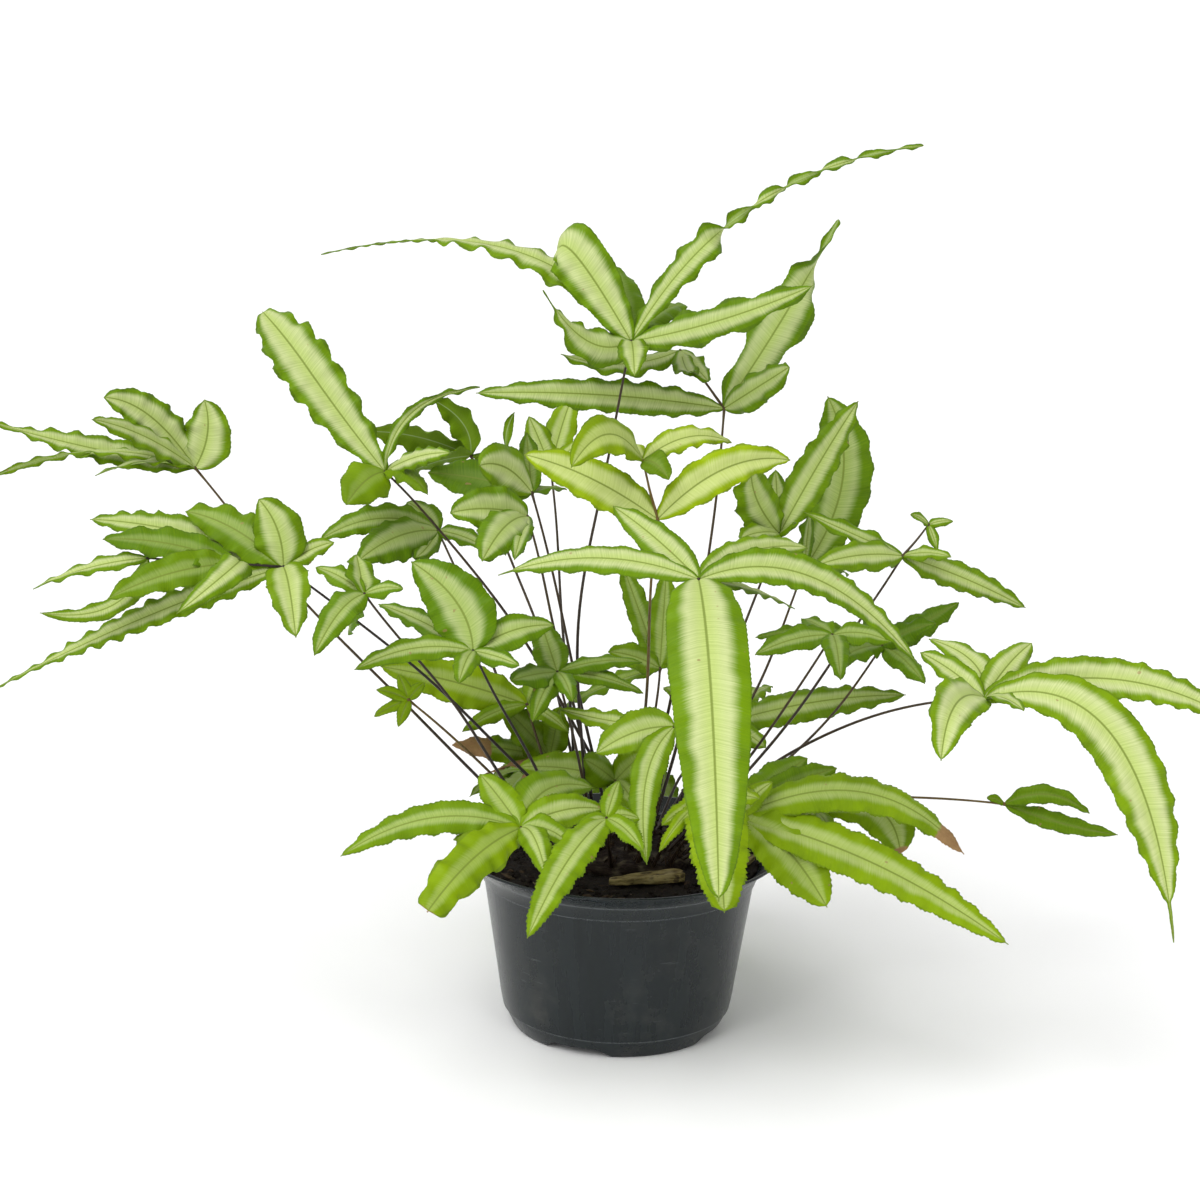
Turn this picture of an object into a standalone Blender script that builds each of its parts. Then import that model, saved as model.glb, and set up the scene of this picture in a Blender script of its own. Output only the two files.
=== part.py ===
"""A potted Cretan brake fern: nursery pot, potting soil, bark and the fern, which grew as one piece.

The origin is the middle of the pot's underside, +Z is up and -Y is the front.
All dimensions below are millimetres; the meshes are made in metres.
"""

import math
from typing import NamedTuple

import bmesh
import bpy
from mathutils import Matrix, Vector, noise

MM = 0.001

# Pot: outer radii and heights, from a lip 165 mm across
POT_LIP_RADIUS = 82.5
POT_LIP_HEIGHT = 94.0
POT_COLLAR_RADIUS = 68.4
POT_COLLAR_HEIGHT = 77.5
POT_SHOULDER_RADIUS = 59.6
POT_SHOULDER_HEIGHT = 20.0
POT_STEP_RADIUS = 57.2
POT_STEP_HEIGHT = 9.8
POT_BASE_RADIUS = 53.0
POT_WALL = 1.6
POT_FLOOR = 3.0
POT_SIDES = 48
NOTCH_COUNT = 4
NOTCH_HEIGHT = 3.2
NOTCH_WIDTH = 30.0
NOTCH_DEPTH = 7.0
NOTCH_TURN = math.radians(-112.0)

# Soil and rhizome
GAP = 0.3
SOIL_EDGE_HEIGHT = 86.5
SOIL_TOP_HEIGHT = 88.0
SOIL_SIDES = 32
RHIZOME_RADIUS = 42.0
RHIZOME_FRONT_RADIUS = 34.0
RHIZOME_TOP = 93.0
FOOT_HEIGHT = RHIZOME_TOP - 1.5

# Fronds
STALK_FOOT_RADIUS = 1.15
STALK_TOP_RADIUS = 0.8
STALK_SIDES = 4
STALK_BANDS = 5
KNUCKLE_RADIUS = 2.0
BLADE_KEEL = 0.85
BLADE_FOOT_WIDTH = 1.5
LEAF_START = 0.7

# The eye from which the fronds' points were read, on the upright plane through the pot's axis
EYE = Vector((-12.5, -1438.0, 586.0))
DEPTH = 1.3

COLOURS = {
    "pot": ((0.028, 0.035, 0.038, 1), 0.42),
    "soil": ((0.020, 0.014, 0.010, 1), 0.95),
    "bark": ((0.210, 0.130, 0.065, 1), 0.80),
    "fern": ((0.250, 0.420, 0.060, 1), 0.50),
}


class Leaf(NamedTuple):
    """One leaflet: its tip as seen (across, up) and how far behind the plane, its width, and its pose.

    Widths are as seen on the plane too, and DEPTH stretches every distance behind or before it.

    arch is how far the midrib's middle stands above the straight line from base to tip, bow the same
    to the right and to the back. tilt turns the upper face from the sky towards the front, in degrees,
    lean turns it to the right, and twist turns it on from the base to the tip. belly is where along the
    midrib the blade is widest, and hook moves the end of the blade on from there.
    """

    across: float
    up: float
    behind: float
    width: float
    arch: float = 4
    tilt: float = 60
    lean: float = 0
    twist: float = 0
    bow: tuple = (0, 0)
    node: int = 0
    belly: float = 0.36
    hook: tuple = (0, 0, 0)


class Frond(NamedTuple):
    """One frond: the foot of its stalk on the rhizome, the stalk's sway, its nodes and its leaflets."""

    name: str
    foot: tuple
    nodes: tuple
    leaves: tuple
    sway: tuple = (0, 0, 0)


FRONDS = (
    # The crown of the plant
    Frond("frond_01_top", (-15, 4), ((0, 350, 0),), (
        Leaf(-36, 391, 12, 25, 20, 74, bow=(-9, 0), belly=0.5),
        Leaf(-150, 389, 44, 15, 24, 55, twist=70, bow=(17, 0)),
        Leaf(138, 449, 15, 13, 18, 60, twist=430, bow=(-12, 0)),
        Leaf(87, 379, -20, 15, -3, 58, twist=30),
        Leaf(-43, 374, -15, 18, -12, 60, twist=40),
        Leaf(2, 333, -28, 13, 4, 55),
        Leaf(-9, 386, 35, 18, 4, 25),
        Leaf(26, 368, 34, 15, 5, 25),
    ), sway=(-9, 0, 0)),
    Frond("frond_02_top_right", (14, 8), ((46, 318, 35), (24, 346, 42)), (
        Leaf(-75, 323, 25, 15, 3, 62),
        Leaf(99, 411, 60, 20, 0, 66, twist=40, bow=(2, 0), belly=0.5),
        Leaf(77, 339, 15, 15, 0, 60),
        Leaf(38, 331, 20, 11, 0, 40, node=1),
        Leaf(-34, 343, 20, 13, -6, 30, node=1),
        Leaf(30, 336, 5, 10, -4, 30, node=1),
    ), sway=(6, 6, 0)),
    # The left side
    Frond("frond_03_left_tall", (8, 16), ((-119, 283, 60),), (
        Leaf(-178, 366, 95, 24, 0, 72, lean=8, bow=(-2, 0), belly=0.66, hook=(-2, 14, -8)),
        Leaf(-87, 293, 25, 9, 3, 55, lean=-10),
        Leaf(-73, 326, 40, 5, 9, 45, twist=90, bow=(-10, 0)),
        Leaf(-138, 266, 40, 22, 4, 62),
        Leaf(-98, 272, 40, 11, 6, 20),
    ), sway=(4, 0, 14)),
    Frond("frond_04_far_left", (-36, 7), ((-212, 283, 60),), (
        Leaf(-207, 317, 58, 22, 0, 66, bow=(4, 0)),
        Leaf(-256, 317, 45, 18, 9, 55),
        Leaf(-262, 306, 25, 13, 4, 45),
        Leaf(-321, 306, 55, 14, -2, 48, twist=20),
        Leaf(-312, 276, 40, 7, 11, 35, twist=120),
        Leaf(-261, 278, 30, 9, 5, 25, twist=40),
    ), sway=(4, 0, -10)),
    Frond("frond_05_left_front", (-6, -4), ((-169, 234, -25), (-193, 235, -28), (-236, 237, -30)), (
        Leaf(-181, 268, -20, 23, 2, 60, bow=(3, 0)),
        Leaf(-217, 261, -5, 20, 5, 52),
        Leaf(-144, 247, -15, 10, 2, 50),
        Leaf(-163, 198, -60, 20, 6, 66),
        Leaf(-312, 169, -35, 15, 4, 55, twist=40),
        Leaf(-264, 256, 10, 16, 5, 55),
        Leaf(-258, 246, -30, 16, 4, 50, node=1),
        Leaf(-256, 216, -45, 17, 4, 58, node=1),
        Leaf(-222, 209, -62, 15, 10, 60, bow=(12, 0), node=1),
        Leaf(-293, 220, -35, 9, 3, 55, twist=60, node=2),
        Leaf(-290, 208, -48, 9, -10, 60, bow=(8, 0), node=2),
    ), sway=(0, 0, 8)),
    Frond("frond_06_left_low", (-28, -14), ((-129, 221, -55),), (
        Leaf(-153, 234, -42, 10, 2, 40),
        Leaf(-133, 241, -40, 15, 0, 45, lean=30),
        Leaf(-154, 189, -80, 15, 6, 60),
        Leaf(-110, 224, -60, 8, 2, 45),
        Leaf(-137, 200, -30, 13, 3, 50),
    ), sway=(-4, 0, 4)),
    Frond("frond_07_left_middle", (-20, -13), ((-75, 193, -45),), (
        Leaf(-106, 238, -30, 29, 2, 66, bow=(7, 0)),
        Leaf(-122, 216, -12, 12, 2, 35),
        Leaf(-134, 182, -55, 12, 6, 48),
        Leaf(-35, 207, -30, 17, 4, 50),
        Leaf(-52, 186, -58, 9, 1, 45),
        Leaf(-82, 176, -78, 11, 3, 50),
    ), sway=(-2, 0, 2)),
    Frond("frond_08_middle", (-10, -8), ((-33, 183, -25),), (
        Leaf(-56, 178, -42, 15, 1, 40),
        Leaf(-42, 210, -8, 15, 0, 55),
        Leaf(9, 189, -8, 9, 3, 30),
        Leaf(10, 173, -14, 9, 3, 40),
        Leaf(-45, 157, -48, 11, 4, 50),
        Leaf(-25, 168, -50, 9, 3, 50),
    ), sway=(0, 0, 0)),
    Frond("frond_09_left_behind", (-20, 10), ((-48, 166, 20),), (
        Leaf(-121, 184, 15, 20, 2, 62),
        Leaf(-80, 151, 5, 8, 3, 55),
        Leaf(-27, 152, 16, 9, 2, 30),
        Leaf(-34, 190, 50, 10, 3, 10),
        Leaf(-75, 165, 62, 13, 5, 15),
    ), sway=(-2, 0, 0)),
    # The front
    Frond("frond_10_front_left", (-18, -24), ((-50, 101, -75),), (
        Leaf(-141, 84, -72, 15, 12, 56),
        Leaf(-84, 94, -74, 10, 1, 60),
        Leaf(-97, 55, -115, 22, 6, 66),
        Leaf(-71, 129, -62, 16, 1, 60),
        Leaf(-14, 123, -48, 21, 9, 58, bow=(-5, 0)),
        Leaf(-9, 112, -66, 17, 4, 60),
        Leaf(-36, 73, -104, 13, 8, 62),
        Leaf(-24, 92, -82, 12, 4, 50),
    ), sway=(0, 4, 8)),
    Frond("frond_11_front", (-4, -26), ((-7, 107, -78),), (
        Leaf(-46, 42, -130, 19, 8, 64, lean=-10),
        Leaf(-22, 98, -88, 9, 2, 55),
        Leaf(10, 107, -72, 10, 2, 50),
        Leaf(-1, 127, -62, 9, 2, 40),
        Leaf(12, 90, -98, 10, 3, 50),
    ), sway=(0, 2, 6)),
    Frond("frond_12_front_big", (12, -14), ((36, 232, -100),), (
        Leaf(51, 64, -162, 39, 24, 62, bow=(0, -14)),
        Leaf(-63, 232, -88, 15, 9, 42),
        Leaf(-7, 268, -72, 16, 2, 50),
        Leaf(89, 249, -70, 17, 6, 48),
        Leaf(145, 192, -78, 17, 21, 50),
        Leaf(84, 218, -60, 10, 3, 20),
    ), sway=(0, 8, 14)),
    Frond("frond_13_young", (5, -6), ((15, 262, -62), (7, 291, -58)), (
        Leaf(-51, 293, -60, 20, 4, 58, lean=-10),
        Leaf(79, 293, -52, 18, 10, 60, twist=40),
        Leaf(-4, 267, -54, 9, 1, 40),
        Leaf(-28, 287, -84, 20, 14, 60, node=1),
        Leaf(50, 301, -40, 12, 7, 45, node=1),
        Leaf(20, 282, -66, 12, 3, 50, node=1),
        Leaf(-8, 303, -30, 12, 2, -20, node=1),
    ), sway=(-2, 0, 4)),
    Frond("frond_14_back_middle", (-24, 20), ((-38, 286, 85),), (
        Leaf(-49, 312, 95, 12, 1, 45),
        Leaf(-28, 322, 110, 13, 3, 50),
        Leaf(-12, 306, 80, 10, 3, 25),
        Leaf(-20, 289, 62, 8, 2, 10),
    ), sway=(4, 0, 0)),
    # The cluster left of the middle
    Frond("frond_15_cluster_back", (-14, 26), ((-77, 292, 105),), (
        Leaf(-131, 303, 100, 19, 4, -45),
        Leaf(-95, 319, 115, 18, 2, -50, bow=(6, 0)),
        Leaf(-114, 279, 85, 18, 3, -40),
        Leaf(-58, 291, 115, 9, 2, -20),
    ), sway=(4, 0, 0)),
    Frond("frond_16_cluster_top", (-4, 10), ((-47, 274, 30),), (
        Leaf(-73, 287, 14, 22, 6, 60, belly=0.45),
        Leaf(-56, 314, 35, 7, 0, 50, twist=200, bow=(-8, 0)),
        Leaf(-50, 304, 45, 10, 0, 45),
        Leaf(-98, 283, 40, 21, 2, 50),
        Leaf(-30, 276, 50, 7, 2, 10),
    ), sway=(3, 0, 0)),
    Frond("frond_17_cluster_low", (-12, 16), ((-49, 262, -2),), (
        Leaf(-87, 263, -14, 21, 3, 62),
        Leaf(-71, 239, -42, 22, 6, 64),
        Leaf(-55, 240, -40, 9, 2, 50),
    ), sway=(4, 0, 2)),
    Frond("frond_18_cluster_left", (-30, 6), ((-93, 254, 74),), (
        Leaf(-151, 248, 66, 14, 9, 55),
        Leaf(-132, 238, 44, 22, 5, 58),
        Leaf(-66, 244, 60, 9, 2, 40),
        Leaf(-104, 240, 52, 9, -2, 60),
        Leaf(-108, 268, 92, 13, 2, 40),
    ), sway=(2, 0, 4)),
    # The right side
    Frond("frond_19_right_upright", (22, 4), ((75, 256, 25),), (
        Leaf(60, 289, 10, 20, 0, 62, bow=(-4, 0)),
        Leaf(72, 288, 42, 12, 0, 40),
        Leaf(111, 323, 45, 17, 2, 60, twist=30),
        Leaf(56, 253, 0, 14, 2, 40),
        Leaf(82, 262, 18, 7, 0, 30),
    ), sway=(0, 0, 0)),
    Frond("frond_20_right_broad", (24, 16), ((88, 239, 80),), (
        Leaf(96, 325, 95, 26, 2, 66, bow=(14, 0), belly=0.5),
        Leaf(90, 279, 60, 6, 2, 50, twist=120),
        Leaf(110, 236, 95, 10, 3, 20),
    ), sway=(4, 0, 0)),
    Frond("frond_21_right_node", (30, 8), ((136, 246, 30), (148, 262, 34)), (
        Leaf(93, 240, 5, 15, 3, 55),
        Leaf(87, 267, 25, 9, 0, 45),
        Leaf(198, 221, 35, 12, 2, 50, twist=50),
        Leaf(160, 246, 22, 8, 2, 35),
        Leaf(153, 249, 30, 4, 1, 50, node=1),
        Leaf(139, 267, 30, 4, 1, 50, node=1),
        Leaf(160, 264, 36, 4, 1, 50, node=1),
    ), sway=(4, 0, -4)),
    Frond("frond_22_right_dark", (30, -2), ((128, 200, 45),), (
        Leaf(65, 203, 55, 13, 5, 30),
        Leaf(165, 223, 60, 12, 0, 45),
        Leaf(154, 212, 35, 11, 2, 40),
        Leaf(150, 181, 25, 11, 3, 45),
        Leaf(121, 222, 85, 12, 2, 20),
        Leaf(104, 190, 20, 12, 3, 40),
    ), sway=(4, 0, -6)),
    Frond("frond_23_right_inner", (22, -6), ((103, 205, -5),), (
        Leaf(65, 194, -12, 12, 3, 45),
        Leaf(108, 182, -40, 12, 5, 55),
        Leaf(132, 202, -12, 12, 3, 40),
        Leaf(88, 213, 18, 10, 1, 20),
    ), sway=(2, 0, -4)),
    Frond("frond_24_right_big", (32, -12), ((180, 174, -62),), (
        Leaf(306, 165, -58, 20, 15, 52),
        Leaf(283, 47, -85, 28, 42, 58, bow=(13, 0), belly=0.6),
        Leaf(160, 141, -108, 24, 14, 60, bow=(-5, -8)),
        Leaf(147, 197, -50, 12, 2, 50),
        Leaf(151, 204, -22, 14, 3, 50, bow=(8, 0)),
        Leaf(202, 203, -35, 15, 3, 55),
        Leaf(200, 168, -95, 9, 3, 30),
    ), sway=(-12, 0, 20)),
    Frond("frond_25_right_long", (16, 20), ((50, 158, 50),), (
        Leaf(141, 175, 68, 15, 4, 54),
        Leaf(72, 146, 40, 12, 2, 45),
        Leaf(20, 176, 70, 13, 3, 15),
        Leaf(74, 178, 90, 12, 4, 0),
    ), sway=(0, 0, 0)),
    Frond("frond_26_far_right", (33, 14), ((193, 119, 60),), (
        Leaf(236, 115, 55, 8, 8, 50, twist=60),
        Leaf(251, 104, 62, 8, -2, 45, twist=50),
        Leaf(184, 122, 58, 4, 1, 40),
    ), sway=(-16, 0, 12)),
    Frond("frond_27_front_right", (24, -24), ((58, 109, -62),), (
        Leaf(199, 44, -80, 22, 9, 54),
        Leaf(174, 92, -55, 18, 22, 50, bow=(5, 0)),
        Leaf(106, 62, -72, 27, 9, 62, belly=0.6),
        Leaf(93, 141, -36, 18, 2, 58, belly=0.55),
        Leaf(108, 136, -40, 14, 3, 55, belly=0.55),
        Leaf(76, 128, -64, 10, 2, 50),
    ), sway=(0, 4, 8)),
    Frond("frond_28_right_curled", (28, -18), ((99, 112, -30),), (
        Leaf(142, 91, -48, 22, 13, 56, bow=(8, 0), belly=0.66),
        Leaf(84, 107, -40, 9, 2, 50),
        Leaf(106, 102, -50, 9, 2, 50),
        Leaf(95, 119, -14, 9, 1, 40),
    ), sway=(0, 0, 6)),
    Frond("frond_29_front_middle", (8, -24), ((26, 156, -52),), (
        Leaf(-13, 141, -50, 19, 4, 58),
        Leaf(-32, 164, -24, 11, -2, 40),
        Leaf(14, 83, -78, 15, 8, 62, bow=(-7, 0)),
        Leaf(52, 172, -48, 11, 2, 45),
    ), sway=(2, 0, 0)),
    Frond("frond_30_front_toothed", (16, -26), ((45, 118, -62),), (
        Leaf(54, 58, -112, 30, 10, 64),
        Leaf(21, 104, -76, 10, 2, 45),
        Leaf(20, 90, -90, 7, 5, 50),
        Leaf(70, 119, -78, 12, 2, 45),
    ), sway=(0, 2, 4)),
    # Small, dried and back fronds
    Frond("frond_31_unfolding", (-36, -1), ((-107, 167, -28),), (
        Leaf(-123, 172, -28, 5, 1, 50),
        Leaf(-112, 180, -22, 5, 1, 50),
        Leaf(-99, 176, -24, 5, 1, 50),
        Leaf(-124, 158, -32, 5, 1, 50),
        Leaf(-112, 153, -36, 5, 1, 50),
    ), sway=(14, 0, -6)),
    Frond("frond_32_brown_edged", (-27, 16), ((-36, 138, 30),), (
        Leaf(-85, 144, 18, 12, 2, 55),
        Leaf(-70, 128, 8, 5, 2, 50, twist=90),
        Leaf(-19, 126, 6, 11, 2, 40),
        Leaf(-50, 118, 34, 10, 2, 50),
        Leaf(-60, 164, 16, 17, 2, 50),
        Leaf(-31, 165, 24, 13, 1, 50),
    ), sway=(0, 0, 4)),
    Frond("frond_37_olive", (-6, -1), ((-3, 127, 2),), (
        Leaf(-52, 133, 12, 17, 3, 52),
        Leaf(-19, 138, -8, 15, 1, 55),
        Leaf(12, 142, -4, 15, 1, 55),
        Leaf(9, 110, -26, 13, 3, 58),
    ), sway=(0, 0, 2)),
    Frond("frond_33_behind_big_leaf", (10, 25), ((18, 186, 30),), (
        Leaf(-8, 194, 18, 12, 2, 55),
        Leaf(-32, 163, 54, 10, 3, 30),
        Leaf(26, 208, 45, 12, 1, 40),
        Leaf(-3, 242, 62, 11, 0, 50, bow=(0, 0)),
        Leaf(20, 236, 45, 13, 0, 60),
    ), sway=(2, 0, 0)),
    Frond("frond_34_back_left", (-25, 26), ((-42, 131, 80),), (
        Leaf(-66, 94, 122, 21, 12, -50, lean=-20),
        Leaf(-76, 117, 84, 15, 6, -20),
        Leaf(-26, 100, 124, 17, 9, -50),
        Leaf(-58, 129, 118, 15, 6, -20),
    ), sway=(0, 2, 17)),
    Frond("frond_35_back", (-4, 34), ((4, 133, 86),), (
        Leaf(0, 88, 138, 22, 16, -55),
        Leaf(-20, 116, 128, 15, 7, -40),
        Leaf(28, 112, 130, 16, 7, -40),
        Leaf(10, 134, 140, 14, 8, -20),
    ), sway=(0, 2, 17)),
    Frond("frond_36_back_right", (19, 28), ((46, 131, 78),), (
        Leaf(68, 92, 118, 20, 12, -50, lean=20),
        Leaf(78, 116, 80, 14, 6, -20),
        Leaf(34, 98, 128, 17, 9, -50),
        Leaf(60, 130, 116, 14, 6, -20),
    ), sway=(0, 2, 17)),
)

# Bark on the soil: middle, turn in degrees, length, width and thickness
BARK_CHIPS = {
    "bark_chip_front": ((13, -43.5, 91.1), 18, 38, 11, 5.4),
    "bark_chip_right": ((61, -12, 89.6), 62, 20, 9, 3.6),
    "bark_chip_back": ((-28, 54, 89.5), -30, 24, 8, 3.6),
}


def nearness(behind):
    """How large a thing is at this depth, for one that looks 1 mm large on the plane."""
    return (behind * DEPTH - EYE.y) / -EYE.y


def place(across, up, behind):
    """The real point that is seen at (across, up) on the plane through the pot's axis."""
    on_plane = Vector((across, 0, up))
    return EYE + (on_plane - EYE) * nearness(behind)


def clear_scene():
    for thing in list(bpy.data.objects):
        bpy.data.objects.remove(thing, do_unlink=True)


def material(name):
    found = bpy.data.materials.get(name)
    if found:
        return found
    colour, roughness = COLOURS[name]
    made = bpy.data.materials.new(name)
    made.use_nodes = True
    shader = made.node_tree.nodes["Principled BSDF"]
    shader.inputs["Base Color"].default_value = colour
    shader.inputs["Roughness"].default_value = roughness
    shader.inputs["Metallic"].default_value = 0.0
    return made


def new_object(name, shape, finish, place_at=(0, 0, 0)):
    """A named object from a bmesh in millimetres."""
    bmesh.ops.scale(shape, vec=(MM, MM, MM), verts=shape.verts)
    mesh = bpy.data.meshes.new(name)
    shape.to_mesh(mesh)
    shape.free()
    mesh.materials.append(material(finish))
    made = bpy.data.objects.new(name, mesh)
    bpy.context.scene.collection.objects.link(made)
    made.location = Vector(place_at) * MM
    return made


def join_rings(shape, first, second):
    """Triangles between two rings of equal length, each pair folded outwards so that no two bands cross."""
    count = len(first)
    centre = sum((vertex.co for vertex in first + second), Vector()) / (2 * count)
    for i in range(count):
        j = (i + 1) % count
        a, b, c, d = first[i], first[j], second[j], second[i]
        outwards = (a.co + b.co + c.co + d.co) / 4 - centre
        if (a.co + c.co - b.co - d.co).dot(outwards) > 0:
            shape.faces.new((a, b, c))
            shape.faces.new((a, c, d))
        else:
            shape.faces.new((b, c, d))
            shape.faces.new((b, d, a))


def turned(profile, sides):
    """A closed solid turned about Z from a closed outline of (radius, height) that runs anticlockwise."""
    shape = bmesh.new()
    rings = []
    for radius, height in profile:
        if radius < 1e-6:
            rings.append([shape.verts.new((0, 0, height))])
            continue
        rings.append([
            shape.verts.new((
                radius * math.cos(2 * math.pi * i / sides),
                radius * math.sin(2 * math.pi * i / sides),
                height,
            ))
            for i in range(sides)
        ])
    for first, second in zip(rings, rings[1:]):
        if len(first) == len(second) == 1:
            continue
        for i in range(sides):
            j = (i + 1) % sides
            if len(first) == 1:
                shape.faces.new((first[0], second[j], second[i]))
            elif len(second) == 1:
                shape.faces.new((first[i], first[j], second[0]))
            else:
                shape.faces.new((first[i], first[j], second[j], second[i]))
    return shape


def pot_outside():
    """The outer profile from the underside up to the lip, as (radius, height)."""
    points = [(POT_BASE_RADIUS - 2.0, 0.0), (POT_BASE_RADIUS, 1.0), (POT_STEP_RADIUS, POT_STEP_HEIGHT)]
    steps = 2
    for i in range(1, steps + 1):
        part = i / steps
        radius = POT_STEP_RADIUS + (POT_SHOULDER_RADIUS - POT_STEP_RADIUS) * math.sin(part * math.pi / 2)
        points.append((radius, POT_STEP_HEIGHT + (POT_SHOULDER_HEIGHT - POT_STEP_HEIGHT) * part))
    points.append((POT_COLLAR_RADIUS, POT_COLLAR_HEIGHT))
    steps = 3
    for i in range(steps + 1):
        part = i / steps
        radius = POT_COLLAR_RADIUS + 0.8 + (POT_LIP_RADIUS - POT_COLLAR_RADIUS - 0.8) * part ** 1.5
        points.append((radius, POT_COLLAR_HEIGHT + 0.6 + (POT_LIP_HEIGHT - POT_COLLAR_HEIGHT - 1.6) * part))
    return points


def pot_inside():
    """The inner profile from the lip down to the floor."""
    points = [(POT_LIP_RADIUS - 0.6, POT_LIP_HEIGHT), (POT_LIP_RADIUS - 1.8, POT_LIP_HEIGHT - 0.4)]
    for radius, height in reversed(pot_outside()[5:-1]):
        points.append((radius - POT_WALL, height))
    points.append((POT_STEP_RADIUS - POT_WALL - 0.6, POT_STEP_HEIGHT))
    points.append((POT_BASE_RADIUS - POT_WALL - 1.0, POT_FLOOR))
    return points


def build_pot():
    outline = [(0, 0)] + pot_outside() + pot_inside() + [(0, POT_FLOOR)]
    pot = new_object("pot", turned(outline, POT_SIDES), "pot")
    pot.data.shade_smooth()
    pot.data.set_sharp_from_angle(angle=math.radians(30))
    for i in range(NOTCH_COUNT):
        cutter_shape = bmesh.new()
        bmesh.ops.create_cube(cutter_shape, size=1)
        bmesh.ops.scale(cutter_shape, vec=(2 * NOTCH_DEPTH, NOTCH_WIDTH, 2 * NOTCH_HEIGHT), verts=cutter_shape.verts)
        cutter = new_object(f"notch_cutter_{i + 1}", cutter_shape, "pot")
        turn = NOTCH_TURN + 2 * math.pi * i / NOTCH_COUNT
        cutter.location = Vector((math.cos(turn), math.sin(turn), 0)) * POT_BASE_RADIUS * MM
        cutter.rotation_euler.z = turn
        cutter.hide_render = True
        cutter.display_type = "WIRE"
        cut = pot.modifiers.new(f"notch_{i + 1}", "BOOLEAN")
        cut.operation = "DIFFERENCE"
        cut.solver = "EXACT"
        cut.object = cutter
    return pot


def build_soil():
    """Soil fills the pot up to a little under its lip, with an uneven top."""
    wall = [(radius - GAP, height) for radius, height in reversed(pot_inside()) if height < SOIL_EDGE_HEIGHT]
    edge_radius = wall[-1][0] + 1.0
    outline = [(0, POT_FLOOR + GAP), (wall[0][0], POT_FLOOR + GAP)] + wall[1:]
    outline += [(edge_radius, SOIL_EDGE_HEIGHT), (62, SOIL_TOP_HEIGHT - 1), (54, SOIL_TOP_HEIGHT)]
    outline += [(RHIZOME_RADIUS + 3, SOIL_TOP_HEIGHT), (0, SOIL_TOP_HEIGHT)]
    shape = turned(outline, SOIL_SIDES)
    for vertex in shape.verts:
        radius = math.hypot(vertex.co.x, vertex.co.y)
        if vertex.co.z > SOIL_EDGE_HEIGHT - 1 and radius > 53:
            vertex.co.z += 1.1 * noise.noise(vertex.co * 0.07)
    return new_object("potting_soil", shape, "soil")


def rhizome_shape():
    """The knotted creeping stem that every stalk grows from."""
    bottom = SOIL_TOP_HEIGHT + GAP
    outline = [(0, bottom), (RHIZOME_RADIUS - 3, bottom), (RHIZOME_RADIUS, bottom + 1.8)]
    outline += [(RHIZOME_RADIUS - 2.5, RHIZOME_TOP), (0, RHIZOME_TOP)]
    shape = turned(outline, 24)
    for vertex in shape.verts:
        if math.hypot(vertex.co.x, vertex.co.y) > 1:
            way = Vector((vertex.co.x, vertex.co.y, 0)).normalized()
            reach = RHIZOME_RADIUS + (RHIZOME_FRONT_RADIUS - RHIZOME_RADIUS) * max(-way.y, 0) ** 2
            vertex.co.xy *= reach / RHIZOME_RADIUS * (1 + 0.04 * noise.noise(way * 2.3))
    return shape


def build_bark():
    for name, (middle, turn, length, width, thickness) in BARK_CHIPS.items():
        shape = bmesh.new()
        bmesh.ops.create_icosphere(shape, subdivisions=2, radius=0.5)
        bmesh.ops.scale(shape, vec=(length, width, thickness), verts=shape.verts)
        for vertex in shape.verts:
            vertex.co.y += width * 0.25 * noise.noise(vertex.co * 0.16)
        chip = new_object(name, shape, "bark", place_at=middle)
        chip.rotation_euler.z = math.radians(turn)


def bezier(start, control, end, t):
    return start * (1 - t) ** 2 + control * 2 * t * (1 - t) + end * t ** 2


def leaf_stations(leaf):
    """Where the blade's rings lie along the midrib: more of them where it twists."""
    count = 2 + int(leaf.width > 10) + int(leaf.width > 19) + int(abs(leaf.twist) / 60)
    return [0.88 * (i / count) ** 1.15 for i in range(1, count + 1)]


def leaf_outline(t, belly):
    """The blade's width along the midrib, as a part of its greatest width."""
    if t < belly:
        return math.sin(math.pi / 2 * (t / belly)) ** 0.8
    return math.cos(math.pi / 2 * ((t - belly) / (1 - belly))) ** 0.85


def leaf_midrib(leaf, base):
    """Points along the midrib and its direction at each, at the stations where the blade's rings lie."""
    tip = place(leaf.across, leaf.up, leaf.behind)
    control = (base + tip) / 2 + Vector((leaf.bow[0], leaf.bow[1], leaf.arch)) * 2

    def point(t):
        return bezier(base, control, tip, t) + Vector(leaf.hook) * (max(t - 0.6, 0) / 0.4) ** 2

    stations = [0.0] + leaf_stations(leaf)
    directions = [(point(t + 0.01) - point(t - 0.01)).normalized() for t in stations]
    points = [point(t) for t in stations]
    points[0] = points[0] + directions[0] * LEAF_START
    return stations, points, directions, point(1)


def leaf_sides(points, directions, leaf):
    """The blade's sideways direction at each point, carried along the midrib from its middle."""
    tilt, lean = math.radians(leaf.tilt), math.radians(leaf.lean)
    face = Vector((math.sin(lean), -math.sin(tilt) * math.cos(lean), math.cos(tilt) * math.cos(lean)))
    middle = len(points) // 2
    sides = [None] * len(points)
    sides[middle] = directions[middle].cross(face).normalized()
    for order in (range(middle + 1, len(points)), range(middle - 1, -1, -1)):
        side = sides[middle]
        for i in order:
            side = (side - directions[i] * side.dot(directions[i])).normalized()
            sides[i] = side
    return sides


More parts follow.
